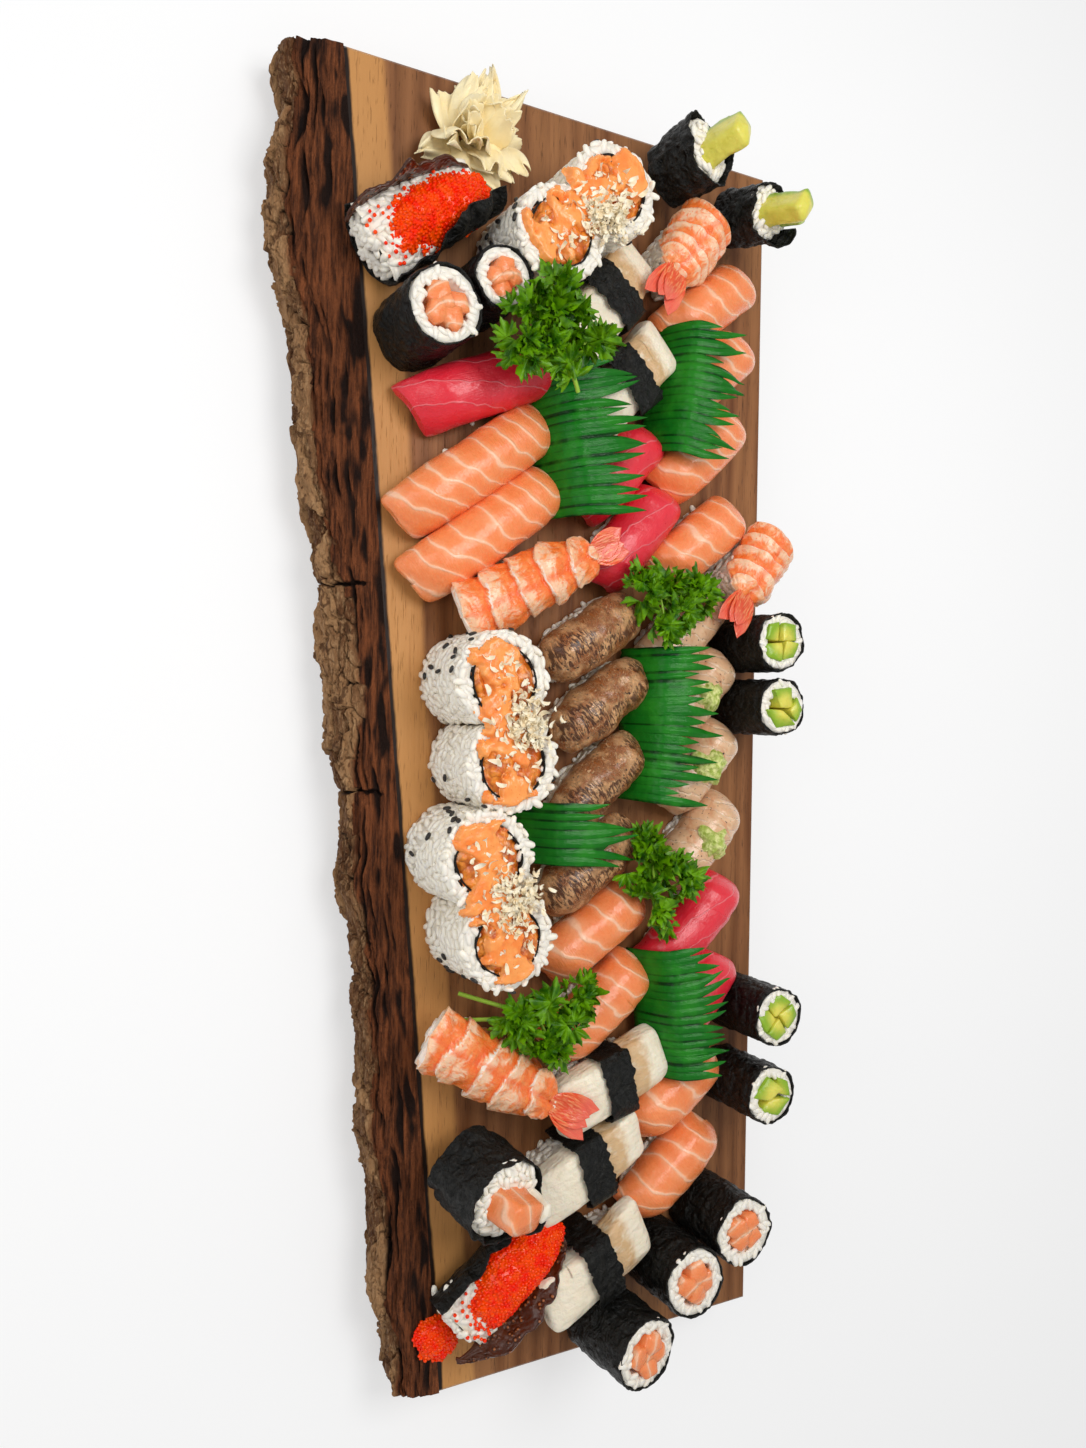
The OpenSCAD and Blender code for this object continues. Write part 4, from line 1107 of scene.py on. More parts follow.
def dress_nori_rolls(nori, rice, rng):
    rolls = [Roll(s) for s in solids("roll_nori")]
    for k, roll in enumerate(rolls):
        piece("roll_sheet_%d" % k, nori_tube(roll, k), nori, roll.place(),
              replaces=["roll_nori"])

    def on_top(p, way, solid):
        roll = nearest(rolls, middle(solid))
        out = roll.off_axis(p)
        return (way @ roll.axis > 0.7) & (out < roll.top_r - 2.0) & (out > 0.64 * roll.top_r)

    dress_rice("roll_rice", on_top, rice, rng, 1.9)
    salmon = salmon_material("roll_salmon", 6.5, 0.5, 0.3)
    cores = solids("roll_salmon")
    for k, (co, _) in enumerate(cores):
        roll = nearest(rolls, middle(co))
        r = 0.47 * roll.top_r
        parts = []
        for n in range(5):
            a = 1.57 * n + 0.5 * k + rng.uniform(-0.2, 0.2)
            out = r * (0.0 if n == 4 else 0.66)
            outline = blob_outline(r * (0.5 if n == 4 else 0.76), 5, rng)
            outline += (out * np.cos(a), out * np.sin(a))
            parts.append(chunk(outline, 4.0, roll.height + rng.uniform(0.7, 1.7), 0.8, rng))
        piece("roll_core_%d" % k, joined(parts), salmon, roll.place(),
              replaces=["roll_salmon"])
    avocado = avocado_material()
    green = [r for r in rolls
             if all(np.hypot(*(middle(co)[:2] - r.at)) > CORE_NEAR for co, _ in cores)]
    for k, roll in enumerate(green):
        parts, skins = [], []
        r = 0.86 * (roll.top_r - 1.8)
        turn = 0.35 * k
        spin = np.array([[np.cos(turn), np.sin(turn)], [-np.sin(turn), np.cos(turn)]])
        for cut in AVOCADO_CUTS[k % 2]:
            outline = r * (np.array(cut) + rng.uniform(-0.05, 0.05, (4, 2))) @ spin
            shape = chunk(outline, 4.0, roll.height + rng.uniform(0.5, 1.7), 0.5, rng, 0.4, 1)
            parts.append(shape)
            skins.append(np.clip(np.hypot(shape[0][..., 0], shape[0][..., 1]) / r, 0, 1).ravel())
        obj = piece("roll_avocado_%d" % k, joined(parts), avocado, roll.place(),
                    replaces=["roll_avocado"])
        paint(obj, "skin", np.concatenate(skins))


# ---------------------------------------------------------------- inside-out rolls


class Pair(Place):
    """Two inside-out rolls pressed together: their middle, turn, radius and half distance."""

    def __init__(self, one, two):
        a, b = middle(one[0])[:2], middle(two[0])[:2]
        both = np.concatenate([one[0], two[0]])
        turn = np.arctan2(*(b - a)[::-1])
        size, at = extent(both, turn)
        super().__init__(at, turn)
        self.r = size[1] / 2
        self.apart = size[0] / 2 - self.r
        self.foot, self.top = both[:, 2].min(), both[:, 2].max()

    def inside(self, x, y, inset):
        """How far a point of the pair's own plane is inside either roll, less an inset."""
        left = self.r - np.hypot(x + self.apart, y)
        right = self.r - np.hypot(x - self.apart, y)
        return np.maximum(left, right) - inset


def pairs():
    found = []
    left = solids("pair_roll_rice")
    while left:
        one = left.pop(0)
        two = min(left, key=lambda s: np.linalg.norm(middle(s[0]) - middle(one[0])))
        left = [s for s in left if s is not two]
        found.append(Pair(one, two))
    return found


def blanket(half_x, half_y, cover, height, step=0.55):
    """A sheet over a plane where cover(x, y) is above 0, at height(x, y)."""
    x = np.arange(-half_x, half_x + step, step)[:, None]
    y = np.arange(-half_y, half_y + step, step)[None, :]
    x, y = np.broadcast_arrays(x, y)
    inside = cover(x, y)
    verts = points(x, y, height(x, y, inside))
    quads = grid_faces(*x.shape)
    kept = quads[(inside.ravel()[quads] > -0.4).any(axis=1)]
    used, index = np.unique(kept, return_inverse=True)
    return verts.reshape(-1, 3)[used], index.reshape(-1, 4)


def ribbon(pair, side, rng):
    """The edge of the nori sheet inside one roll, seen from above as a dark line."""
    a = circle(130)
    flat = (pair.apart - SHEET_INSET) / np.maximum(-np.cos(a), 1e-6)
    r = pair.r - SHEET_INSET
    r = softened(np.where(np.cos(a) < 0, np.minimum(r, flat), r), 4)
    seed = int(rng.integers(1000))
    r = r + 0.5 * rough(polar(9, a, seed), 5, 2, seed)
    x = side * (pair.apart + r * np.cos(a))
    y = r * np.sin(a)
    z = pair.top + 0.5 + 0.4 * rough(points(x, y, seed), 3, 2, seed)
    rows = [points(x, y, pair.foot), points(x, y, z)]
    return np.stack(rows), grid_faces(2, len(a), wrap=True)


def dress_pairs(nori, rice, rng):
    groups = pairs()

    def outside(p, way, solid):
        pair = nearest(groups, middle(solid))
        x, y = pair.local(p)
        out = np.hypot(np.abs(x) - pair.apart, y)
        rim = (way[:, 2] > 0.7) & (pair.inside(x, y, 0) < 4.0)
        return rim | ((out > pair.r - 0.5) & (p[:, 2] > 1.0 + pair.foot) & (np.abs(x) > 0.6))

    dress_rice("pair_roll_rice", outside, rice, rng, 2.35)
    lines = [pair.lay(ribbon(pair, side, rng)) for pair in groups for side in (-1, 1)]
    piece("pair_sheets", joined(lines), nori, replaces=["pair_roll_nori"],
          thickness=NORI_SHEET)

    s = flesh("roll_filling", 0.3, coat=(0.25, 0.08))
    bits = s.cells(2.6)
    body = s.mix(s.noise(3.4).step(0.35, 0.65), (0.66, 0.13, 0.006), (0.9, 0.3, 0.03))
    # Painted shade: the filling is darker in the pressed-in gaps between its bits
    body = s.mix(bits.step(0.5, 0.8) * 0.6, body, (0.42, 0.06, 0.004))
    body = s.mix(s.noise(5.0).step(0.6, 0.66) * 0.6, body, (0.88, 0.48, 0.28))
    filling = s.finish(body, None, [(bits, -1.2), (s.noise(1.2), 0.3)])
    s = flesh("spicy_sauce", 0.24, 1.5, coat=(0.25, 0.06))
    body = s.mix(s.noise(4.0, detail=2.0).step(0.3, 0.6), (0.94, 0.25, 0.04), (0.98, 0.36, 0.085))
    specks = s.cells(0.9).step(0.22, 0.12) * s.noise(3.0).step(0.5, 0.6)
    body = s.mix(specks, body, (0.9, 0.16, 0.015))
    sauce = s.finish(body, None, [(s.noise(2.5), 0.4)])
    flake = simple_material("batter", (0.93, 0.76, 0.48), (0.97, 0.92, 0.76), 2.0, 0.6, 0.3, 0.8)
    seeds = simple_material("sesame", (0.006, 0.005, 0.005), (0.03, 0.025, 0.02), 1.0, 0.35)
    for k, pair in enumerate(groups):
        # The side away from the bark, where the filling shows beside the sauce
        far = np.sign(np.cos(pair.turn))

        def stuffed(x, y, inside):
            lumps = rough(points(x, y, k * 50.0), 4.2, 3, 30 + k)
            return pair.top - 0.6 + 1.6 * np.clip(inside / 3, 0, 1) ** 0.5 + 1.5 * lumps

        half = pair.apart + pair.r
        heap = blanket(half, pair.r, lambda x, y: pair.inside(x, y, FILLING_INSET), stuffed)
        piece("pair_filling_%d" % k, heap, filling, pair.place,
              replaces=["pair_roll_filling"])

        def poured(x, y):
            wander = 2.2 * noise(points(x, 0, k * 20.0), 12, 40) - 1.8 * far
            edge = 4.6 * rough(points(x, y, k * 30.0), 4.5, 3, 41)
            waist = 0.43 * pair.r + 1.2 * np.cos(x / pair.apart * np.pi)
            return waist - np.abs(y - wander) + edge - 4 * np.clip(np.abs(x) - half + 4.5, 0, 9)

        def thick(x, y, inside):
            rim = np.clip(inside / 1.4, -0.4, 1)
            bulge = np.sign(rim) * np.abs(rim) ** 0.5
            fall = 0.06 * np.clip(-pair.inside(x, y, 1.0), 0, 20) ** 2
            lumps = rough(points(x, y, k * 9.0), 4, 3, 42)
            return pair.top + 1.1 + 1.4 * bulge + 0.35 * lumps - fall

        pool = blanket(half + 3, pair.r, poured, thick, 0.45)
        piece("pair_sauce_%d" % k, pool, sauce, pair.place, replaces=["spicy_sauce"])
        piece("pair_flakes_%d" % k, flakes(pair, far, rng), flake, pair.place,
              replaces=["batter_flakes"])
        piece("pair_sesame_%d" % k, sesame(pair, rng), seeds, pair.place)


def flakes(pair, far, rng):
    """Curled shreds of fried batter, heaped by the middle of the pair and sprinkled over it."""
    heaped, loose = 200, 55
    u, v, faces = sheet(7, 3, (-1, 1))
    strip = points(u, v * (1 - 0.5 * u**2) + 0.5 * u**2, 0.6 * u**2 + 0.3 * v * u)
    middle_of = (rng.uniform(-3, 3), far * 0.33 * pair.r)
    at = np.concatenate([
        rng.normal(size=(heaped, 2)) * (pair.r * 0.3, pair.r * 0.24) + middle_of,
        rng.uniform(-1, 1, (loose, 2)) * (pair.apart + 0.55 * pair.r, 0.5 * pair.r)])
    near = np.exp(-np.sum((at - middle_of) ** 2, axis=1) / (0.35 * pair.r) ** 2)
    p = points(at[:, 0], at[:, 1], pair.top + 2.5 + rng.uniform(0, 1, len(at)) * (0.4 + 3.0 * near))
    way = unit(rng.normal(size=(len(at), 3)) * 0.6 + (0, 0, 1))
    size = np.array([1.6, 0.65, 1.1]) * rng.uniform(0.4, 1.25, (len(at), 1))
    curls = strewn((strip, faces), p, way, size, rng, 0.6, 0)
    lumps = strewn((GRAIN[0] * (1, 0.8, 0.7), GRAIN[1]), p[::2] + (0.4, 0.3, -0.5), way[::2],
                   np.array([0.95, 0.65, 0.6]), rng)
    return joined([curls, lumps])


def sesame(pair, rng):
    """Black seeds on the outer rice."""
    a = rng.uniform(0, 2 * np.pi, SEEDS)
    side = np.sign(np.cos(a))
    x = side * pair.apart + (pair.r + 0.7) * np.cos(a)
    y = (pair.r + 0.7) * np.sin(a)
    z = rng.uniform(pair.foot + 3, pair.top + 1.0, SEEDS)
    way = unit(polar(1, a, 0.2))
    return strewn(GRAIN, points(x, y, z), way, np.array([1.35, 0.8, 0.55]), rng, 0.1, -0.2)


# ---------------------------------------------------------------- hand rolls and boats


def wrapped_cone(roll, seed):
    """A sheet rolled round on itself, wrinkled, with a torn rim and a corner that stands up."""
    # The sheet goes round a little more than once and ends outside its own start
    v, a, faces = sheet(76, 220, across=(-0.5, 2 * np.pi + 0.3))
    round_rim = polar(3, a, seed)
    rim = 1.6 * noise(round_rim, 1.6, seed) + 0.5 * rough(round_rim, 0.6, 3, seed + 6)
    corner = 5.5 * np.exp(-((a - 2 * np.pi - 0.1) / 0.6) ** 2)
    z = v * (roll.height + rim * v**6 + corner * v**6)
    r = roll.foot_r + (roll.top_r - roll.foot_r) * z / roll.height
    r = r - 0.6 + 0.16 * (a - np.pi)
    on = polar(r, a, z + seed * 50)
    pleat = np.abs(rough(on * (1, 1, 0.35), 8, 3, seed + 11))
    r = r + 0.8 * rough(on, 9, 3, seed) + 0.6 * rough(on, 3, 3, seed + 1) - 1.2 * pleat
    r = (r * (1 + 0.06 * np.cos(2 * a + seed))
         + 1.1 * v**4 * noise(polar(2, a, seed), 1.2, seed + 4))
    return polar(r, a, z), faces


def dress_cones(nori, rice, rng):
    """Wraps the hand rolls and fills them with rice, and gives them back as rolls."""
    shells = solids("hand_roll_nori")
    fillings = [middle(co) for name in ("hand_roll_salmon", "hand_roll_avocado")
                for co, _ in solids(name)]
    off = [min(np.linalg.norm(middle(s[0])[:2] - f[:2]) for f in fillings) for s in shells]
    rolls = [Roll(shells[k]) for k in np.argsort(off)[:len(fillings)]]
    for k, roll in enumerate(rolls):
        piece("hand_sheet_%d" % k, wrapped_cone(roll, k + 3), nori, roll.place(),
              replaces=["hand_roll_nori"], thickness=NORI_SHEET)
        r, a, faces = ring(20, 60)
        x, y = (roll.top_r - 1.8) * r * np.cos(a), (roll.top_r - 1.8) * r * np.sin(a)
        lumps = noise(points(x, y, k * 9.0), 5, k)
        heap = points(x, y, roll.height + 0.8 - 3.2 * r**4 + 0.8 * lumps)
        inner = roll.top_r - 3.0
        p, way = spread((heap.reshape(-1, 3), triangles(faces)), HEAP_SPACING,
                        lambda p, w: np.hypot(p[:, 0], p[:, 1]) < inner, rng)
        way = way * np.sign(way[:, 2:])
        p = p + (0, 0, 0.5) * rng.uniform(0, 1, (len(p), 1))
        shape = joined([(heap, faces), strewn(GRAIN, p, way, GRAIN_SIZE, rng, 0.25, 0.1)])
        piece("hand_rice_%d" % k, shape, rice, roll.place(), replaces=["hand_roll_rice"])
    return rolls


def stick(w, t, length, rng, taper=0.85):
    """A cut stick along Z with its foot at the origin."""
    v, c, s, faces = shell(26, 40, 4)
    seed = int(rng.integers(1000))
    close = np.minimum(1, (1 - v) * 12) ** 0.5
    grow = (1 - (1 - taper) * v) * close
    x, y = w / 2 * c * grow, t / 2 * s * grow
    x = x + 0.5 * noise(points(v * length, 0, seed), 9, 1)
    p = points(x, y, v * length + 0 * c)
    p[..., :2] += 0.35 * rough(points(x, y, seed + v * length), 5, 2, seed)[..., None]
    return p, faces


def dress_sticks(rolls, rng):
    salmon = salmon_material("hand_salmon", 7.0, 0.5, 0.2)
    avocado = avocado_material()
    cream = simple_material("roll_cream", (0.9, 0.8, 0.6), (0.95, 0.9, 0.78), 3.0, 0.4, 0.3, 2.0)
    green = simple_material("cucumber", (0.14, 0.36, 0.02), (0.6, 0.7, 0.2), 2.5, 0.3, 0.2, 1.0)
    kinds = (("hand_roll_salmon", salmon, "salmon_flesh", 15, cream, "roll_filling"),
             ("hand_roll_avocado", avocado, "avocado", 20, green, "avocado"))
    for node, material, slot, length, other, other_slot in kinds:
        for k, (co, _) in enumerate(solids(node)):
            roll = min(rolls, key=lambda r: np.linalg.norm(middle(co) - (r.top + r.foot) / 2))
            r = roll.top_r
            tip = max((co - roll.foot) @ roll.axis)
            shape = stick(1.05 * r, 0.78 * r, length, rng)
            place = roll.place(tip - 13.0) @ placed(-0.08 * r, -0.05 * r, 0, 0.5 + k, 0.06)
            obj = piece("%s_%d" % (node, k), shape, material, place, replaces=[node])
            if slot == "avocado":
                paint(obj, "skin", np.clip(shape[0][..., 0] / (0.45 * r) + 0.2, 0, 1).ravel())
            side = stick(0.42 * r, 0.42 * r, 12, rng, 0.9)
            piece("%s_side_%d" % (node, k), side, other,
                  roll.place(tip - 11.5) @ placed(0.52 * r, 0.3 * r, 0, 1.1))


class Boat(Place):
    """A roe boat: the frame of its gutter, from its rice."""

    def __init__(self, bed, skins):
        p = bed[0]
        turn, size, at = laid(p)
        super().__init__(at, turn)
        self.length, self.r = size[0], size[1] / 2
        self.axis_z = p[:, 2].max()
        # The wider end is where the turn starts
        x, y = self.local(p)
        widths = [np.ptp(y[x * side > 0.3 * size[0]]) for side in (-1, 1)]
        if widths[1] > widths[0]:
            super().__init__(at, turn + np.pi)
        skin = min(skins, key=lambda s: np.linalg.norm(middle(s[0])[:2] - self.at))
        self.skin_side = np.sign(self.local(middle(skin[0])[None])[1][0])

    def rice_top(self, x, y):
        """The height of the heaped rice in the boat's own plane."""
        u, v = np.clip(x / self.length, -0.5, 0.5), np.clip(y / self.r, -1, 1)
        return self.axis_z + (3.4 - 2.0 * u) * (1 - v**2) * (1 - (2 * np.abs(u)) ** 4) - 2.0 * v**4


def boat_sheet(boat, seed, fold):
    """The nori of a boat: a tapered shell round it whose far edge stands up, ruffled. fold is how
    many degrees further the sheet comes over the narrow half."""
    u, along, faces = sheet(110, 84, (-0.5, 0.5), (0, 1))
    start, stop = -165, 22
    a = np.radians(start + (stop + fold * np.clip((u + 0.15) / 0.2, 0, 1) - start) * along)
    r = boat.r * 1.14 * (0.86 - 0.28 * u)
    on = points(u * boat.length, a * 12, seed * 30)
    free = np.clip((along - 0.72) / 0.28, 0, 1) * (0.4 + 0.6 * np.clip(0.5 + 2 * u, 0, 1))
    r = (r + 0.35 * rough(on, 7, 3, seed) + 0.3 * rough(on, 2.5, 3, seed + 2)
         - 0.4 * np.abs(rough(on, 5, 3, seed + 3)))
    r = r + free * (1.6 + 1.8 * np.sin(u * 26 + seed) + 1.2 * noise(on, 3, seed + 4))
    x = u * (boat.length + 1.5) + 0.6 * noise(points(a * 9, seed), 4, seed)
    y = -boat.skin_side * r * np.cos(a)
    ruffle = 1.2 + 2.0 * rough(points(u * boat.length, 1, seed), 5, 3, seed + 5)
    z = boat.axis_z + r * np.sin(a) + free * ruffle
    return points(x, y, np.maximum(z, BOARD_TOP + 0.3)), faces


# For each boat from left to right: how many degrees its sheet folds over its narrow half, its
# skin's height, lean and drawn-out point, and how far the roe lies towards the skin and how
# broad it is, as shares of the boat's radius
BOATS = ((40, (13.0, 1.5, 1.0), -0.12, 0.8), (0, (11.0, 5.5, 9.0), 0.12, 0.98))


def dress_boats(nori, rice, rng):
    skins = solids("crisp_skins")
    boats = [Boat(s, skins) for s in solids("hand_roll_rice")
             if min(np.linalg.norm((middle(s[0]) - middle(k[0]))[:2]) for k in skins) < SKIN_NEAR]
    skin, roe = skin_material(), roe_material()
    eggs = []
    for k, boat in enumerate(boats):
        half = boat.length / 2
        fold, skin_form, aside, broad = BOATS[k]
        piece("boat_sheet_%d" % k, boat_sheet(boat, k, fold), nori, boat.place,
              replaces=["hand_roll_nori"], thickness=NORI_SHEET)
        piece("boat_skin_%d" % k, skin_leaf(boat, k + 7, *skin_form), skin,
              boat.place, replaces=["crisp_skins"], thickness=SKIN_SHEET)
        u, v, faces = sheet(60, 40, (-0.5, 0.5))
        x, y = u * boat.length + 0 * v, v * boat.r * (0.9 - 0.3 * u)
        lumps = 0.5 * noise(points(x, y, k * 40.0), 6, k)
        heap = points(x, y, boat.rice_top(x, y) + lumps).reshape(-1, 3), faces
        p, way = spread((heap[0], triangles(faces)), HEAP_SPACING,
                        lambda p, w: np.abs(p[:, 0]) < half - 1, rng)
        way = way * np.sign(way[:, 2:])
        # The wide end is open, and its rice spills out
        a = rng.uniform(-1, 1, SPILT_GRAINS)
        end = points(-half + 1.5 - 3.0 * (1 - a**2), a * boat.r * 0.85,
                     boat.axis_z + 1.5 - rng.uniform(0, 9, SPILT_GRAINS) - 3 * a**2)
        ways = unit(points(-1, a * 0.6, 0.5))
        grains = strewn(GRAIN, np.concatenate([p, end]), np.concatenate([way, ways]),
                        GRAIN_SIZE, rng)
        piece("boat_rice_%d" % k, joined([heap, grains]), rice, boat.place,
              replaces=["hand_roll_rice"])
        aside *= boat.skin_side * boat.r

        def piled(x, y):
            q = (((x - 0.1 * boat.length) / (0.47 * boat.length)) ** 2
                 + ((y - aside) / (broad * boat.r)) ** 2)
            return 4.5 * (1 - q) + 1.5 * rough(points(x, y, k * 30.0), 5, 3, 51)

        def mound(x, y, inside):
            return (boat.rice_top(x, y) + 0.2 + 4.0 * np.clip(inside / 4, 0, 1) ** 0.6
                    + 0.5 * rough(points(x, y, k), 3, 2, 52))

        mass, faces = blanket(half + 2, boat.r, piled, mound, 0.7)
        at, _ = spread((mass, triangles(faces)), ROE_SPACING, lambda p, w: w[:, 2] != 0, rng)
        # Strays lie over the bare rice
        q = (rng.uniform(-1, 1, (STRAY_EGGS, 2)) * (half, 0.75 * boat.r)
             + rng.normal(size=(STRAY_EGGS, 2)))
        stray = points(q[:, 0], q[:, 1], boat.rice_top(q[:, 0], q[:, 1]) + 1.2)
        stray, _ = thinned(stray, stray, 1.1)
        eggs.append(boat.lay((mass, faces)))
        eggs.append(boat.lay(beads(np.concatenate([at, stray]), rng)))
    for co, _ in solids("roe"):
        if all(np.linalg.norm(middle(co)[:2] - b.at) > SPILL_FAR for b in boats):
            eggs += spilled(co, rng)
    piece("roe_beads", joined(eggs), roe, replaces=["roe"])


def bead_shape():
    up, a, faces = ring(6, 9, (0, np.pi))
    return polar(np.sin(up), a, np.cos(up)).reshape(-1, 3), faces


def beads(at, rng):
    """Roe with its middles at the points at."""
    r = rng.uniform(0.55, 0.72, len(at))
    return copies(BEAD, np.concatenate([r[:, None, None] * np.eye(3), at[:, :, None]], axis=2))


BEAD = bead_shape()


# ---------------------------------------------------------------- garnish


def dress_ginger():
    """Thin slices gathered in a tuft: broad ruffled petals that stand up and lean out, most of
    them towards the two ends of the board, and a few drawn out to points."""
    co, _ = node_mesh("pickled_ginger")
    at, size = middle(co), np.ptp(co, axis=0)
    low = co[:, 2].min()
    reach = (size[0] + size[1]) / 4
    rng = np.random.default_rng(GINGER_DRAW)
    parts = []
    for k in range(PETALS):
        outer = 1 - k / (PETALS - 1)
        around = (np.pi if k % 2 else 0) + rng.normal() * 0.75
        spike = 0.75 if k % 5 == 1 else 0.2
        length = rng.uniform(0.85, 1.15) * reach * (0.7 + 0.4 * outer) * (1 + 0.3 * (spike > 0.5))
        width = rng.uniform(0.75, 1.15) * reach * (1 - 0.3 * (spike > 0.5))
        s, t, faces = sheet(34, 36)
        broad = 0.5 + 0.5 * np.sin(np.pi * np.minimum(s * 0.8 + 0.05, 1)) ** 0.7
        ragged = 0.2 * rough(points(t * 5, 0, k * 5.0), 1.6, 3, k) + 0.18 * np.abs(t) ** 2
        rise = s * (1 - ragged * s)
        side = width / 2 * broad * t * (1 - spike * s**3)
        bend = (2.2 * (t**2 - 0.4) * (1 - 0.4 * s) + 1.5 * s * np.sin(t * 5.0 + k + 2 * s)
                + 1.4 * noise(points(t * 5, s * 3, k * 3.0), 2.4, k))
        lean = rng.uniform(0.15, 0.5) + 0.8 * outer
        bow = lean + 0.45 * s * outer
        x = length * rise * np.sin(bow) + bend * np.cos(lean) + reach * 0.24 * outer
        z = low + 1 + length * rise * np.cos(bow) - bend * np.sin(lean) + 6.0 * (1 - outer)
        offset = rng.normal() * 0.28 * reach
        root = Place((at[0], at[1] - 0.12 * size[1] + offset), around)
        parts.append(root.lay((points(x, side, np.clip(z, low + 0.4, low + 30)), faces)))
    piece("ginger_petals", joined(parts), ginger_material(), replaces=["pickled_ginger"],
          thickness=PETAL_SHEET)


# For each sprig from left to right: its clusters, its leaves, and whether it lies with two long
# stems out over the board
SPRIGS = ((8, 120, False), (5, 66, False), (5, 66, False), (5, 66, True))


def dress_parsley(rng):
    """Lobed, curled leaves in clusters at the ends of a branching stem."""
    # A leaf: a fan cut into lobes, each lobe cut into teeth, that folds along its lobes
    s, t, faces = sheet(8, 37)
    lobe = 0.5 + 0.5 * np.cos(t * np.pi * 5)
    tooth = 0.5 + 0.5 * np.cos(t * np.pi * 15)
    reach = s * (0.6 + 0.3 * lobe**0.8 * s + 0.18 * tooth * s)
    fan = t * 1.6
    curl = (0.4 * lobe - 0.1) * s**2 + 0.2 * s * np.sin(t * 6.0)
    leaflet = polar(reach, fan, curl).reshape(-1, 3), faces
    leaves, stems = [], []
    for k, (co, _) in enumerate(solids("parsley")):
        low = co[:, 2].min()
        turn, box, mid = laid(co)
        sprig = Place(mid, turn)

        def spot(x, y, z):
            return sprig.lay((points(x, y, z), None))[0]

        spots, count, long_stems = SPRIGS[k]
        a = np.arange(spots) * 2.4
        spoke = np.sqrt((np.arange(spots) + 0.6) / spots) * 0.42
        heads = np.stack([np.cos(a) * spoke * box[0], np.sin(a) * spoke * box[1]], axis=-1)
        which = rng.integers(0, spots, count)
        q = heads[which] + rng.normal(size=(count, 2)) * 2.5
        from_head = np.linalg.norm(q - heads[which], axis=1)
        z = low + 2.6 + np.maximum(6.0 - from_head * 0.9, 0) * rng.uniform(0.3, 1.1, count)
        limit = box / 2 + 2.0
        q = np.clip(q, -limit, limit)
        p = spot(*q.T, z)
        away = points(*(q - heads[which]).T)
        out, _ = Place((0, 0), turn).lay((away, None))
        way = unit(out * 0.2 + rng.normal(size=(count, 3)) * 0.3 + (0, 0, 1))
        size = 6.2 * rng.uniform(0.65, 1.15, (count, 1)) * np.ones(3)
        leaves.append(strewn(leaflet, p, way, size, rng, 0.5, 0))

        fork = spot(-0.2 * box[0], 0.0, low + 3.0)
        for side in (-1, 1) if long_stems else (0,):
            far_out, drop = (0.95, 9.0) if long_stems else (0.56, 0.0)
            root = spot(-far_out * box[0], (0.14 * side - 0.1) * box[1], low + 0.6 - drop)
            stems.append(tube([root, (root + fork) / 2 + (0, 0, 2.0), fork], 0.7))
        for h in heads:
            end = spot(h[0], h[1], low + 4.0)
            stems.append(tube([fork, (fork + end) / 2 + (0, 0, 1.0), end], 0.45))
    shape = joined(leaves + stems)
    obj = piece("parsley_leaves", shape, parsley_material(), replaces=["parsley"])
    stem = np.zeros(len(shape[0]))
    stem[sum(len(v.reshape(-1, 3)) for v, _ in leaves):] = 1
    paint(obj, "stem", stem)


def tube(path, r, sides=8, steps=14):
    """A round stem through three points."""
    a, b, c = (np.asarray(p, float) for p in path)
    t, ang, faces = ring(steps, sides)
    line = (1 - t) ** 2 * a + 2 * t * (1 - t) * b + t**2 * c
    way = unit(np.gradient(line, axis=0))
    side = unit(np.cross(way, (0.0, 0.0, 1.0) if abs(way[0, 2]) < 0.9 else (1.0, 0.0, 0.0)))
    up = np.cross(side, way)
    ang = ang[:, None]
    return line[:, None] + r * (np.cos(ang) * side[:, None] + np.sin(ang) * up[:, None]), faces


def dress_grass():
    """Film folded like a fan and cut into a comb of long points. Its root goes down between the
    rows of food."""
    pieces, folds, tips = [], [], []
    for k, (co, _) in enumerate(solids("grass_dividers")):
        turn = long_turn(co)
        # The points face away from the bark
        if np.cos(turn) < 0:
            turn += np.pi
        (length, depth), mid = extent(co, turn)
        low, high = co[:, 2].min(), co[:, 2].max()
        blades = max(round(length / GRASS_PITCH), 2)
        v, u, faces = sheet(44, blades * 12 + 1, across=(0, blades))
        saw = 1 - 2 * np.abs(u - np.floor(u) - 0.5)
        saw[-1] = 0
        along = u / blades
        number = np.minimum(np.floor(u), blades - 1)
        own = noise(points(number * 3.1, k * 7.0), 1.0, k + 9)
        tall = (0.7 + 0.26 * np.sin(np.pi * along) ** 0.7
                + 0.4 * noise(points(number * 2.3, k), 1.0, k))
        share, shift, ahead = FILM[k]
        full = share * depth
        y = full * v * tall * (0.6 + 0.4 * saw**0.8)
        out = y / full
        # Above the roots of the points each one keeps its own lean
        free = np.clip((out - 0.5) / 0.5, 0, 1)
        x = (ahead + (along - 0.5) * length * (1 + 0.1 * out) + 4.5 * free**1.4 * own
             + 1.8 * v * noise(points(u, k), 6.0, k))
        fall = 3.0 * free**2 * (0.5 + own)
        root = 14.0 * np.clip(1 - out / 0.3, 0, 1) ** 2
        fine = noise(points(u * 2.2, k * 3.0), 1.0, k + 4)
        z = (low + 0.6 + (high - low + 1.5) * np.sin(np.minimum(out, 1) * 1.9)
             + 0.5 * (saw - 0.5) * (1 + free) + 0.35 * fine
             + 1.8 * noise(points(u, v * 2, k), 5, k) - fall - root)
        pieces.append(Place(mid, turn).lay((points(x, y + shift - 0.5 * full, z), faces)))
        # High on the ridges, which the material paints lighter, and low in the valleys, which it
        # paints darker as shade
        folds.append(np.broadcast_to(np.clip(saw + 0.5 * fine, 0, 1), y.shape).ravel())
        tips.append(np.broadcast_to(free, y.shape).ravel())
    obj = piece("grass_film", joined(pieces), grass_material(),
                replaces=["grass_dividers"], thickness=FILM_SHEET)
    paint(obj, "fold", np.concatenate(folds))
    paint(obj, "tip", np.concatenate(tips))


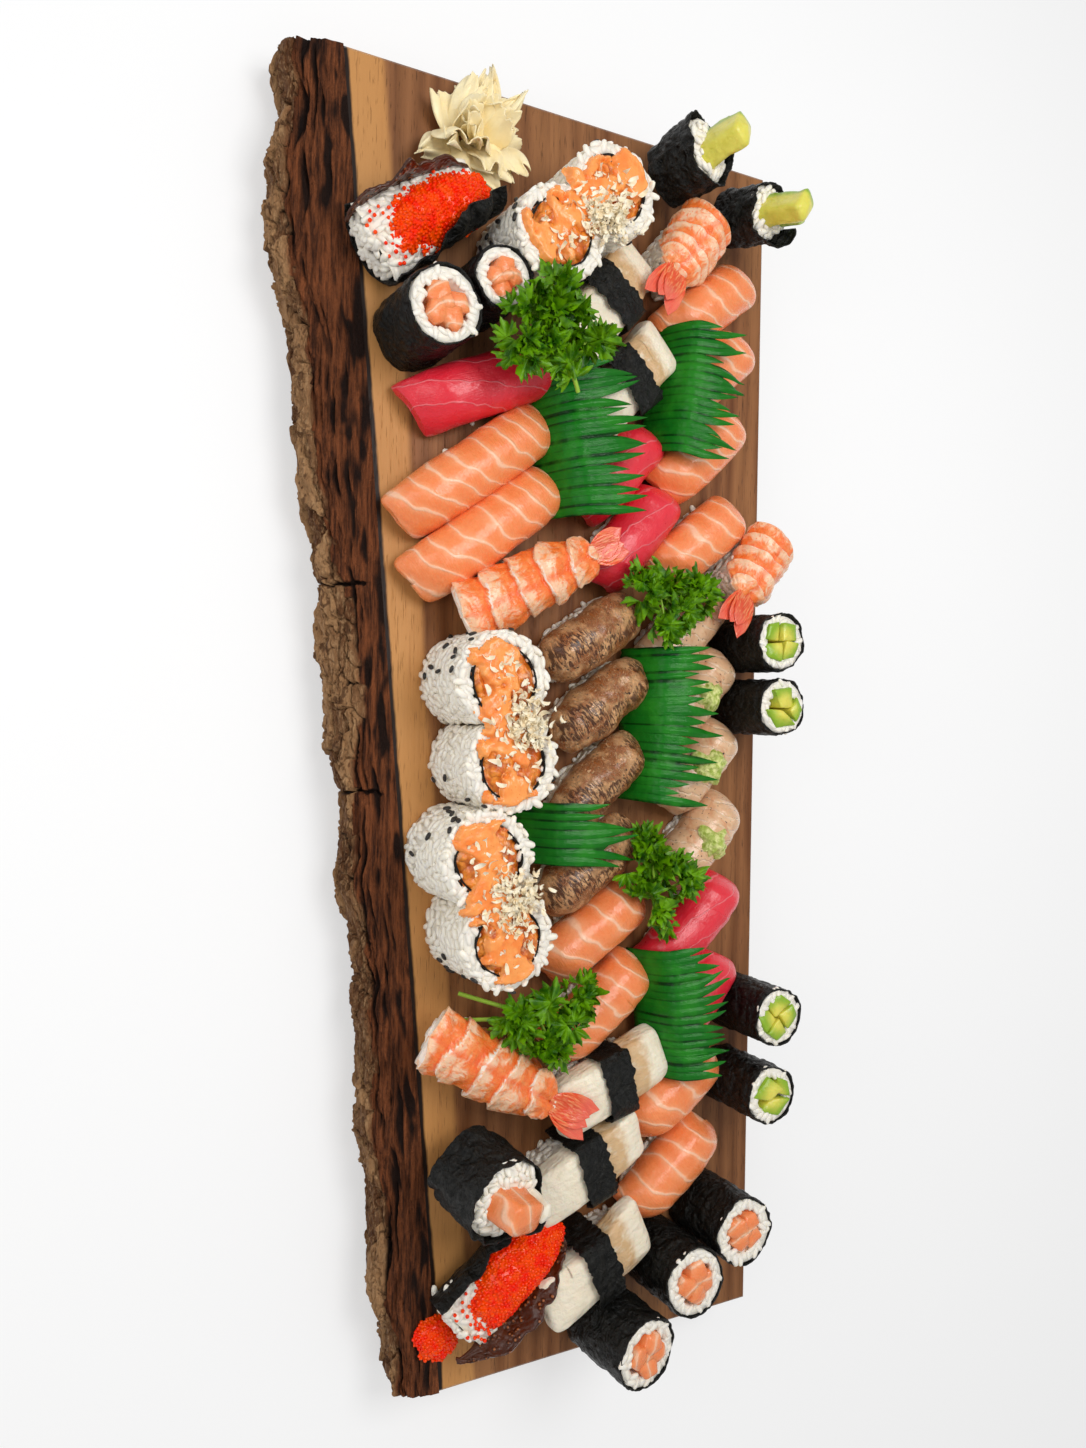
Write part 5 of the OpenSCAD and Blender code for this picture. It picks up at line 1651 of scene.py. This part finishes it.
def skin_leaf(boat, seed, tall, out, point):
    """A crisp fried skin beside a boat: a blistered leaf with pointed ends that stands tall
    and leans out, its wide end drawn on to a point."""
    u, v, faces = sheet(90, 34, (-1, 1), (0, 1))
    broad = np.maximum(1 - np.abs(u) ** 2.4, 0) ** 0.7
    on = points(u * 20, v * 12, seed * 9.0)
    x = (u * (boat.length / 2 + 2) - point * np.clip(-u - 0.2, 0, 1) ** 1.5
         + noise(on, 4, seed))
    lean = out * v**1.2 * broad + 1.6 * rough(on, 6, 3, seed + 1) * v
    y = boat.skin_side * (boat.r * (0.9 - 0.16 * u) + lean - 3.0 * (1 - broad))
    height = tall + 2.5 * noise(points(u * 20, seed), 5, seed + 3)
    z = boat.axis_z - 4.0 + height * v * broad + 0.8 * rough(on, 3, 3, seed + 2)
    return points(x, y, z), faces


def spilled(co, rng):
    """A little heap of roe that fell on the board."""
    at, reach = middle(co), 0.62 * np.ptp(co, axis=0)[0]

    def lump(x, y):
        return 3.0 * (1 - (x**2 + y**2) / reach**2) + 1.2 * rough(points(x, y, 3), 4, 2, 61)

    def dome(x, y, inside):
        return co[:, 2].min() + 0.2 + 3.4 * np.clip(inside / 3, 0, 1) ** 0.7

    mass, faces = blanket(reach + 1, reach + 1, lump, dome, 0.7)
    mass = mass + (at[0], at[1], 0)
    p, _ = spread((mass, triangles(faces)), ROE_SPACING, lambda p, w: w[:, 2] != 0, rng)
    return [(mass, faces), beads(p, rng)]


def squid_block(bed_l, bed_w, seed):
    """A block cut from a thick sheet: straight sides, sharp edges and a faceted top."""
    l, w = SQUID_SPREAD[0] * bed_l, SQUID_SPREAD[1] * bed_w
    turn, c, v, faces = shell(110, 84, 6, (0, np.pi))
    s = -np.cos(turn)
    half = np.maximum(1 - np.abs(s) ** 9, 0) ** (1 / 9)
    on = points(l / 2 * s, w / 2 * c, seed * 31.0)
    own = np.random.default_rng(seed)
    x = l / 2 * s + 0.9 * noise(on, 9, seed) * (np.abs(s) > 0.5)
    y = w * 0.55 * half * c * (1 + 0.1 * noise(on, 14, seed + 1)) + 0.14 * x
    # The top is what is left under several slanting planes
    top = 0.0 * x
    for _ in range(7):
        a, tilt = own.uniform(0, 2 * np.pi), own.uniform(0.12, 0.4)
        top = np.minimum(top, 1.6 - tilt * (x * 0.5 * np.cos(a) + y * np.sin(a)))
    top = top + 0.4 * rough(on, 5, 3, seed + 2)
    z = np.where(v > 0, top * v, 0) - SQUID_T / 2 * (1 - v * half) - (l / 2 * s) ** 2 / (9 * l)
    # The sides spread a little towards the board
    return points(x, y * (1 - 0.06 * v), z), faces


def bark_plates(x, u, rng, long=15.0, tall=7.0):
    """Irregular plates: how far each point is from the crack round its plate, and that plate's
    own number from 0 to 1."""
    count = int(np.ptp(x) * np.ptp(u) / (long * tall))
    size = np.array([long, tall])
    seeds = rng.uniform((x.min(), u.min()) / size, (x.max(), u.max()) / size, (count, 2))
    own = rng.random(count)
    on = points(x, u, 0)
    warp = 0.28 * np.stack([noise(on, 6, k) + 0.5 * noise(on, 2.2, k + 2) for k in (31, 32)],
                           axis=-1)
    p = on[..., :2] / size + warp
    crack, number = np.empty(p.shape[:2]), np.empty(p.shape[:2])
    for k, row in enumerate(p):
        far = np.linalg.norm(row[:, None] - seeds, axis=-1)
        first = far.argmin(axis=1)
        two = np.partition(far, 1, axis=1)
        crack[k], number[k] = two[:, 1] - two[:, 0], own[first]
    return crack, number


# ---------------------------------------------------------------- the whole board

rng = np.random.default_rng(11)
dress_board()
dress_bark(rng)

rice, nori = rice_material(), nori_material()
for kind in ("salmon", "tuna", "prawn", "seared", "white_fish", "squid"):
    dress_rice(kind + "_rice", lambda p, way, solid: way[:, 2] < 0.7, rice, rng)

dress_slices("salmon",
             lambda k: salmon_material("salmon_%d" % k, 7.6 + 0.5 * (k % 3), 0.6, 0.37 * k),
             "salmon_flesh", fish_slice, ends=3.8, edge=3.2, lean=-0.2)
dress_slices("tuna", tuna_material(), "tuna_flesh", fish_slice, ends=6.5, edge=3.6, lean=-0.32)
dress_slices("seared", seared_material(), "seared_flesh", fish_slice,
             ends=2.05, edge=2.6, lean=-0.1, bumps=1.1)
dress_slices("white_fish", white_fish_material(), "white_fish_flesh", fish_slice,
             ends=3.2, edge=2.6, lean=-0.15, bumps=0.6)
dress_slices("squid", squid_material(), "squid_flesh", squid_block, clear=5.0)
dress_prawns()
dress_squid_bands(nori)
dress_wasabi()
dress_nori_rolls(nori, rice, rng)
dress_pairs(nori, rice, rng)
dress_sticks(dress_cones(nori, rice, rng), rng)
dress_boats(nori, rice, rng)
dress_ginger()
dress_parsley(rng)
dress_grass()

# ---------------------------------------------------------------- stage

FLOOR_HALF, FLOOR_Z = 900, -0.2
corners = points([-FLOOR_HALF, FLOOR_HALF, FLOOR_HALF, -FLOOR_HALF],
                 [-FLOOR_HALF, -FLOOR_HALF, FLOOR_HALF, FLOOR_HALF], FLOOR_Z)
floor = added("floor", make_mesh("floor", corners, np.array([[0, 1, 2, 3]])))
s = Shader("floor", Roughness=0.9, Specular_IOR_Level=0.1)
s.finish((0.97, 0.97, 0.97))
# Seen by the camera, in gloss and through film, half of the floor's brightness is plain white
rays = s.node("ShaderNodeLightPath").outputs
seen = s.math("MAXIMUM", s.math("MAXIMUM", rays["Is Camera Ray"], rays["Is Glossy Ray"]),
              rays["Is Transmission Ray"])
white = s.node("ShaderNodeEmission", {"Color": (1.0, 1.0, 1.0), "Strength": 1.0})
blend = s.node("ShaderNodeMixShader", {0: seen * 0.5, 1: s.bsdf.outputs[0], 2: white.outputs[0]})
s.put(s.tree.nodes["Material Output"].inputs["Surface"], blend.outputs[0])
floor.data.materials.append(s.material)

world = bpy.data.worlds.new("world")
bpy.context.scene.world = world
world.use_nodes = True
background = world.node_tree.nodes["Background"]
background.inputs["Color"].default_value = (1.0, 1.0, 1.0, 1)
background.inputs["Strength"].default_value = 0.5


def lamp(name, at, target, size, power):
    """A soft square lamp; at and target are millimetres."""
    light = bpy.data.lights.new(name, "AREA")
    light.size = size * MM
    light.energy = power
    at, target = Vector(at) * MM, Vector(target) * MM
    turn = (target - at).to_track_quat("-Z", "Y").to_matrix().to_4x4()
    added(name, light).matrix_world = Matrix.Translation(at) @ turn


lamp("key", (-180, 60, 600), (0, 0, 20), 300, 1.9)
lamp("fill", (-60, -460, 360), (0, 0, 20), 300, 0.6)

# The photograph's camera, fitted to the board's outline: it looks from the bark's side, and its
# image is turned so that the board's length runs down it. Its place is in metres, its yaw,
# pitch and roll are in degrees, and the focal length is a share of the picture's height
CAMERA_AT = (-0.009463, -0.181526, 0.351623)
CAMERA_TURNS = (1.16923524, 61.20218024, -1.93864206)
FOCAL_SHARE = 1087 / 1448
SENSOR = 36
camera = added("camera", bpy.data.cameras.new("camera"))
yaw, pitch, roll = np.radians(CAMERA_TURNS)
forward = np.array([np.sin(yaw) * np.cos(pitch), np.cos(yaw) * np.cos(pitch), -np.sin(pitch)])
upward = np.array([np.sin(yaw) * np.sin(pitch), np.cos(yaw) * np.sin(pitch), np.cos(pitch)])
sideways = np.cross(forward, upward)
turned_up = np.cos(roll) * upward + np.sin(roll) * sideways
turned_side = np.cross(forward, turned_up)
pose = Matrix([[*row] for row in np.stack([turned_up, -turned_side, -forward], axis=1)]).to_4x4()
pose.translation = CAMERA_AT
camera.matrix_world = pose
camera.data.sensor_width = SENSOR
camera.data.lens = SENSOR * FOCAL_SHARE
camera.data.clip_start = 0.01
bpy.context.scene.camera = camera
bpy.context.scene.view_settings.view_transform = "Standard"
